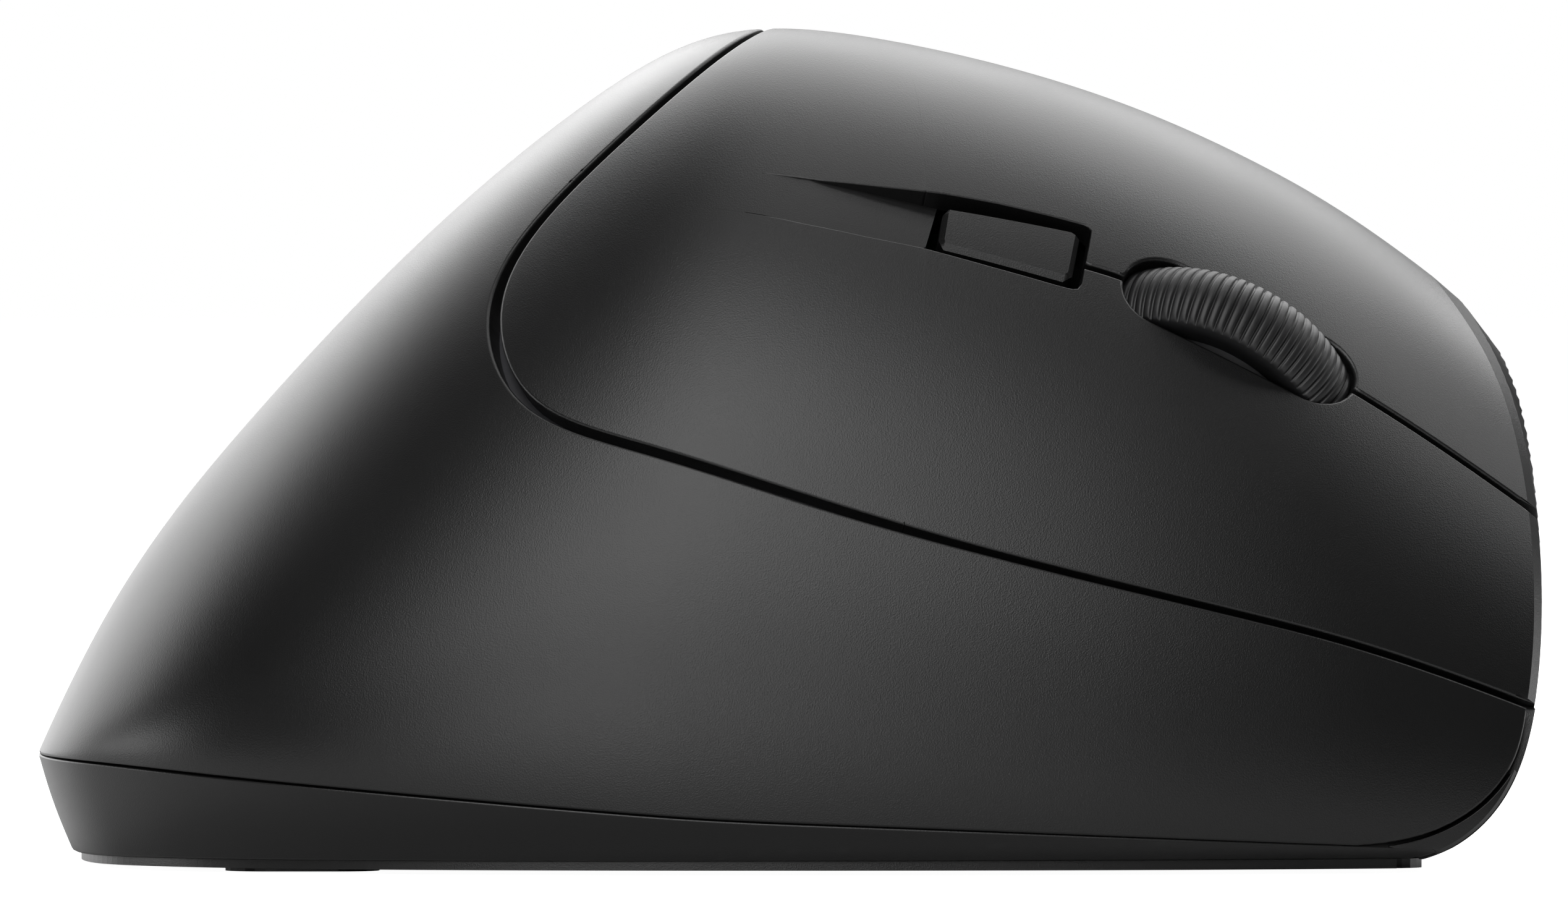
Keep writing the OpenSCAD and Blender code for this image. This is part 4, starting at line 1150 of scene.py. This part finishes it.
def planLoop(inset):
    # outline of the foot of the skirt seen from below, moved in
    ts = np.linspace(*tray["ends"], tray["floorSteps"])
    line = skirtAt(np.stack([ts, ts * 0 + 1], 1))[:, :2]
    way = unit(np.gradient(line, axis=0))
    line = line + np.stack([way[:, 1], -way[:, 0]], 1) * inset
    return line[line[:, 0] < tray["floorFront"]]


def boxLoop(x, y, length, width, r):
    x0, x1 = x - length / 2, x + length / 2
    y0, y1 = y - width / 2, y + width / 2
    return roundLoop([(x0, y0), (x1, y0), (x1, y1), (x0, y1)], r, 6)


def diskLoop(x, y, d, steps=28):
    turns = [2 * math.pi * k / steps for k in range(steps)]
    return np.array([(x + d / 2 * math.cos(turn), y + d / 2 * math.sin(turn)) for turn in turns])


def plateWithHoles(outer, holes, low, high):
    # flat plate between two heights with openings through it
    verts, edges = [], []
    for loop in [outer] + holes:
        start = len(verts)
        verts.extend([Vector((float(a), float(b))) for a, b in loop])
        edges.extend([(start + k, start + (k + 1) % len(loop)) for k in range(len(loop))])
    pts, _, found, _, _, _ = delaunay_2d_cdt(verts, edges, [], 0, 1e-5)
    pts = np.array([(v.x, v.y) for v in pts])
    mids = np.array([pts[list(t)].mean(0) for t in found])
    keep = loopField(mids, outer) > 0
    for loop in holes:
        keep &= loopField(mids, loop) < 0
    count = len(pts)
    points = [(x, y, low) for x, y in pts] + [(x, y, high) for x, y in pts]
    faces, normals, uses = [], [], {}
    for t in (t for t, k in zip(found, keep) if k):
        a, b, c = pts[list(t)]
        turn = (b[0] - a[0]) * (c[1] - a[1]) - (b[1] - a[1]) * (c[0] - a[0])
        t = t if turn > 0 else t[::-1]
        faces.append(tuple(i + count for i in t))
        normals.extend([(0, 0, 1)] * 3)
        faces.append(tuple(t[::-1]))
        normals.extend([(0, 0, -1)] * 3)
        uses.update(dict.fromkeys(sidesOf(t)))
    for i, j in uses:
        if (j, i) in uses:
            continue
        side = pts[j] - pts[i]
        faces.append((i, j, j + count, i + count))
        normals.extend([(side[1], -side[0], 0)] * 4)
    return points, faces, normals


def frontPart(rules, wall, lift=None):
    uv, tris = cutSurface(frontAt, (0, 1), (0, 1), nose["grid"], rules, nose["snap"])
    return shellParts(frontAt, uv, tris, rules, wall, lift)


def makeBase():
    rules = [limit(inverse(rimField), tray["rimGap"], tray["rimRoll"]),
             limit(above(tray["foot"]), 0, tray["footRoll"]),
             limit(noseField, shells["noseIn"], tray["noseRoll"])]
    uv, tris = cutSurface(skirtAt, tray["ends"], (0.0, 1.0), tray["grid"], rules, tray["snap"])
    parts = [shellParts(skirtAt, uv, tris, rules, tray["wall"])]
    underTop = below(strips["top"])
    for span in strips["spans"]:
        rules = [limit(stripField, strips["gap"], strips["roll"]),
                 limit(underTop, strips["topGap"], strips["roll"]),
                 limit(noseField, shells["noseIn"], strips["noseRoll"], "nose")]
        parts.append(skinPart(rules, strips["wall"], span, strips["spacing"], strips["snap"],
                              **strips["edge"]))
    rules = [limit(underTop, strips["topGap"], nose["roll"]), limit(above(tray["foot"]), 0, nose["roll"]),
             limit(fromEdge, nose["baseIn"])]
    parts.append(frontPart(rules, nose["baseWall"]))
    holes = [boxLoop(*hole) for hole in tray["holes"]] + [diskLoop(*screw) for screw in tray["screws"]]
    pockets = [boxLoop(*foot) for foot in tray["feet"]]
    outline = planLoop(tray["stepIn"])
    parts.append(plateWithHoles(outline, holes, tray["pocket"], tray["floorTop"]))
    parts.append(plateWithHoles(outline, holes + pockets, tray["floor"], tray["pocket"]))
    makeMesh("baseTray", *joinParts(parts), "body", basePlastic, "base_black", ("base",))
    print("base ready")


def makeFront():
    # front wall behind the lips of the keys, front of the thumb panel, and a strip behind their gap
    overStrip = limit(above(strips["top"]), nose["overStrip"], nose["roll"])
    rightSide = limit(inverse(leftOf(seams["thumbIn"])), nose["thumbGap"], nose["roll"])
    leftSide = limit(leftOf(seams["thumbIn"]), nose["thumbGap"], nose["roll"])
    part = frontPart([overStrip, limit(fromLip, nose["keyGap"], nose["roll"]), rightSide], nose["wall"])
    makeMesh("frontWall", *part, "body", shellPlastic, "shell_black")
    part = frontPart([overStrip, limit(fromEdge, nose["thumbIn"]), leftSide], nose["wall"])
    makeMesh("thumbFront", *part, "body", thumbPlastic, "thumb_panel_black")
    fill = nose["fill"]
    rules = [limit(above(strips["top"]), fill["overStrip"]), limit(below(fill["top"]), 0),
             limit(fromEdge, fill["inset"]), limit(leftOf(seams["thumbIn"] - fill["right"]), 0),
             limit(inverse(leftOf(seams["thumbIn"] + fill["left"])), 0)]
    part = frontPart(rules, fill["wall"], level(-fill["drop"]))
    makeMesh("frontFill", *part, "body", shellPlastic, "shell_black")
    print("front ready")


makeBase()
makeFront()

# ribbed tyre of the scroll wheel
wheelForm = {"radius": 12.5, "width": 6.2, "crown": 4.7, "hub": 9.62, "ribs": 100, "ribDepth": 0.42,
             "perRib": 8, "rows": 23, "treadIn": 0.12, "flank": 3.2, "shoulder": 3.42, "shoulderIn": 0.02,
             "shoulderRib": 0.4}


def makeTyre():
    half = wheelForm["width"] / 2
    count = wheelForm["ribs"] * wheelForm["perRib"]
    angles = np.linspace(0, 2 * math.pi, count, endpoint=False)
    # ridges are round on top with narrow grooves between them
    wave = np.abs(np.cos(angles * wheelForm["ribs"] / 2))
    groove = wheelForm["ribDepth"] * (1 - np.sqrt(np.clip(1 - (1 - wave) ** 2, 0, 1)))
    tread = np.linspace(-half + wheelForm["treadIn"], half - wheelForm["treadIn"], wheelForm["rows"])
    core = wheelForm["radius"] - wheelForm["crown"]
    # radius, place across the wheel, share of the groove's depth
    flank = [(wheelForm["hub"], half, 0), (core + wheelForm["flank"], half, 0),
             (core + wheelForm["shoulder"], half - wheelForm["shoulderIn"], wheelForm["shoulderRib"])]
    profile = [(r, -s, share) for r, s, share in flank]
    profile += [(core + math.sqrt(wheelForm["crown"] ** 2 - s * s), s, 1) for s in tread]
    profile += flank[::-1]
    turn = math.radians(seams["wheelYaw"])
    axisX = slantA * math.cos(turn) + slantW * math.sin(turn)
    axisY = -slantA * math.sin(turn) + slantW * math.cos(turn)
    centre = slantA * seams["wheel"][0] + slantW * seams["wheel"][1] + slantH * seams["wheel"][2]
    rows = []
    for r, s, share in profile:
        size = r - groove * share
        ring = np.outer(size * np.cos(angles), axisX) + np.outer(size * np.sin(angles), slantH)
        rows.append(centre + ring + axisY * s)
    faces = []
    n = len(profile)
    for k in range(n):
        for j in range(count):
            a, b = k * count + j, k * count + (j + 1) % count
            c, d = ((k + 1) % n) * count + (j + 1) % count, ((k + 1) % n) * count + j
            faces.append((a, b, c, d))
    makeMesh("wheelTyre", np.vstack(rows), faces, None, "wheel", tyreRubber, "tyre_rubber", ("wheel_tyre",))
    print("tyre ready")


makeTyre()

# white studio: the camera sees plain white, the object only a pale floor and the lamps
studio = {"ambient": 0.03, "seen": 1.0, "half": 3, "drop": 2e-5, "paper": 0.72, "rough": 0.9, "glow": 0.97}


def seenByCamera(tree, usual, seen, output):
    path = addNode(tree, "ShaderNodeLightPath")
    mix = addNode(tree, "ShaderNodeMixShader")
    tree.links.new(path.outputs["Is Camera Ray"], mix.inputs["Fac"])
    tree.links.new(usual.outputs[0], mix.inputs[1])
    tree.links.new(seen.outputs[0], mix.inputs[2])
    tree.links.new(mix.outputs[0], tree.nodes[output].inputs["Surface"])


def makeStage():
    white = (1, 1, 1, 1)
    world = bpy.data.worlds.new("studio")
    bpy.context.scene.world = world
    world.use_nodes = True
    tree = world.node_tree
    back = tree.nodes["Background"]
    back.inputs["Color"].default_value = white
    back.inputs["Strength"].default_value = studio["ambient"]
    seen = addNode(tree, "ShaderNodeBackground", {"Color": white, "Strength": studio["seen"]})
    seenByCamera(tree, back, seen, "World Output")
    mesh = bpy.data.meshes.new("floor")
    half = studio["half"]
    corners = [(-half, -half), (half, -half), (half, half), (-half, half)]
    mesh.from_pydata([(x, y, -studio["drop"]) for x, y in corners], [], [(0, 1, 2, 3)])
    floor = bpy.data.objects.new("floor", mesh)
    bpy.context.scene.collection.objects.link(floor)
    mat, tree, shader = nodeSet("floorPaper")
    shader.inputs["Base Color"].default_value = (studio["paper"], studio["paper"], studio["paper"], 1)
    shader.inputs["Roughness"].default_value = studio["rough"]
    glow = addNode(tree, "ShaderNodeEmission", {"Strength": studio["glow"]})
    add = addNode(tree, "ShaderNodeAddShader")
    tree.links.new(shader.outputs[0], add.inputs[0])
    tree.links.new(glow.outputs[0], add.inputs[1])
    seenByCamera(tree, shader, add, "Material Output")
    mesh.materials.append(mat)
    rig.stage(floor)


lamps = {
    # name: place, aim, size, brightness of the panel
    "backWall": ((0.1, 0.8, 0.72), (0, 0, 0.04), (1.1, 0.95), 3.1),
    "tailWall": ((-0.64, 0.85, 0.35), (0, 0, 0.04), (1.3, 0.76), 2.3),
    "tailLow": ((-1.05, -0.02, 0.14), (0, 0, 0.03), (0.5, 0.36), 3.4),
    "frontHigh": ((-0.12, -0.8, 0.93), (0, 0, 0.04), (0.7, 1.0), 3.8),
    "overhead": ((0.12, 0.16, 1.25), (0, 0, 0.04), (0.5, 0.4), 1.7),
    "frontLow": ((-0.17, -1.2, 0.24), (0, 0, 0.04), (0.36, 0.46), 4.4),
    "noseSide": ((0.81, 0.26, 0.84), (0, 0, 0.04), (0.42, 0.6), 2.4),
    "noseLow": ((0.9, 0.42, 0.1), (0, 0, 0.03), (0.5, 0.2), 3.2),
}


def makeLamps():
    for name, (place, aim, size, bright) in lamps.items():
        light = bpy.data.lights.new(name, "AREA")
        light.shape = "RECTANGLE"
        light.size, light.size_y = size
        light.energy = bright * math.pi * size[0] * size[1]
        lamp = bpy.data.objects.new(name, light)
        lamp.location = place
        lamp.visible_camera = False
        lamp.rotation_euler = (Vector(aim) - Vector(place)).to_track_quat("-Z", "Y").to_euler()
        bpy.context.scene.collection.objects.link(lamp)


makeStage()
makeLamps()
bpy.context.scene.view_settings.view_transform = "Standard"
print("stage ready")

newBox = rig.bounds()
with open("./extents.json", "w") as out:
    json.dump({"cad": [list(map(float, c)) for c in cadBox], "visual": [list(map(float, c)) for c in newBox]}, out)
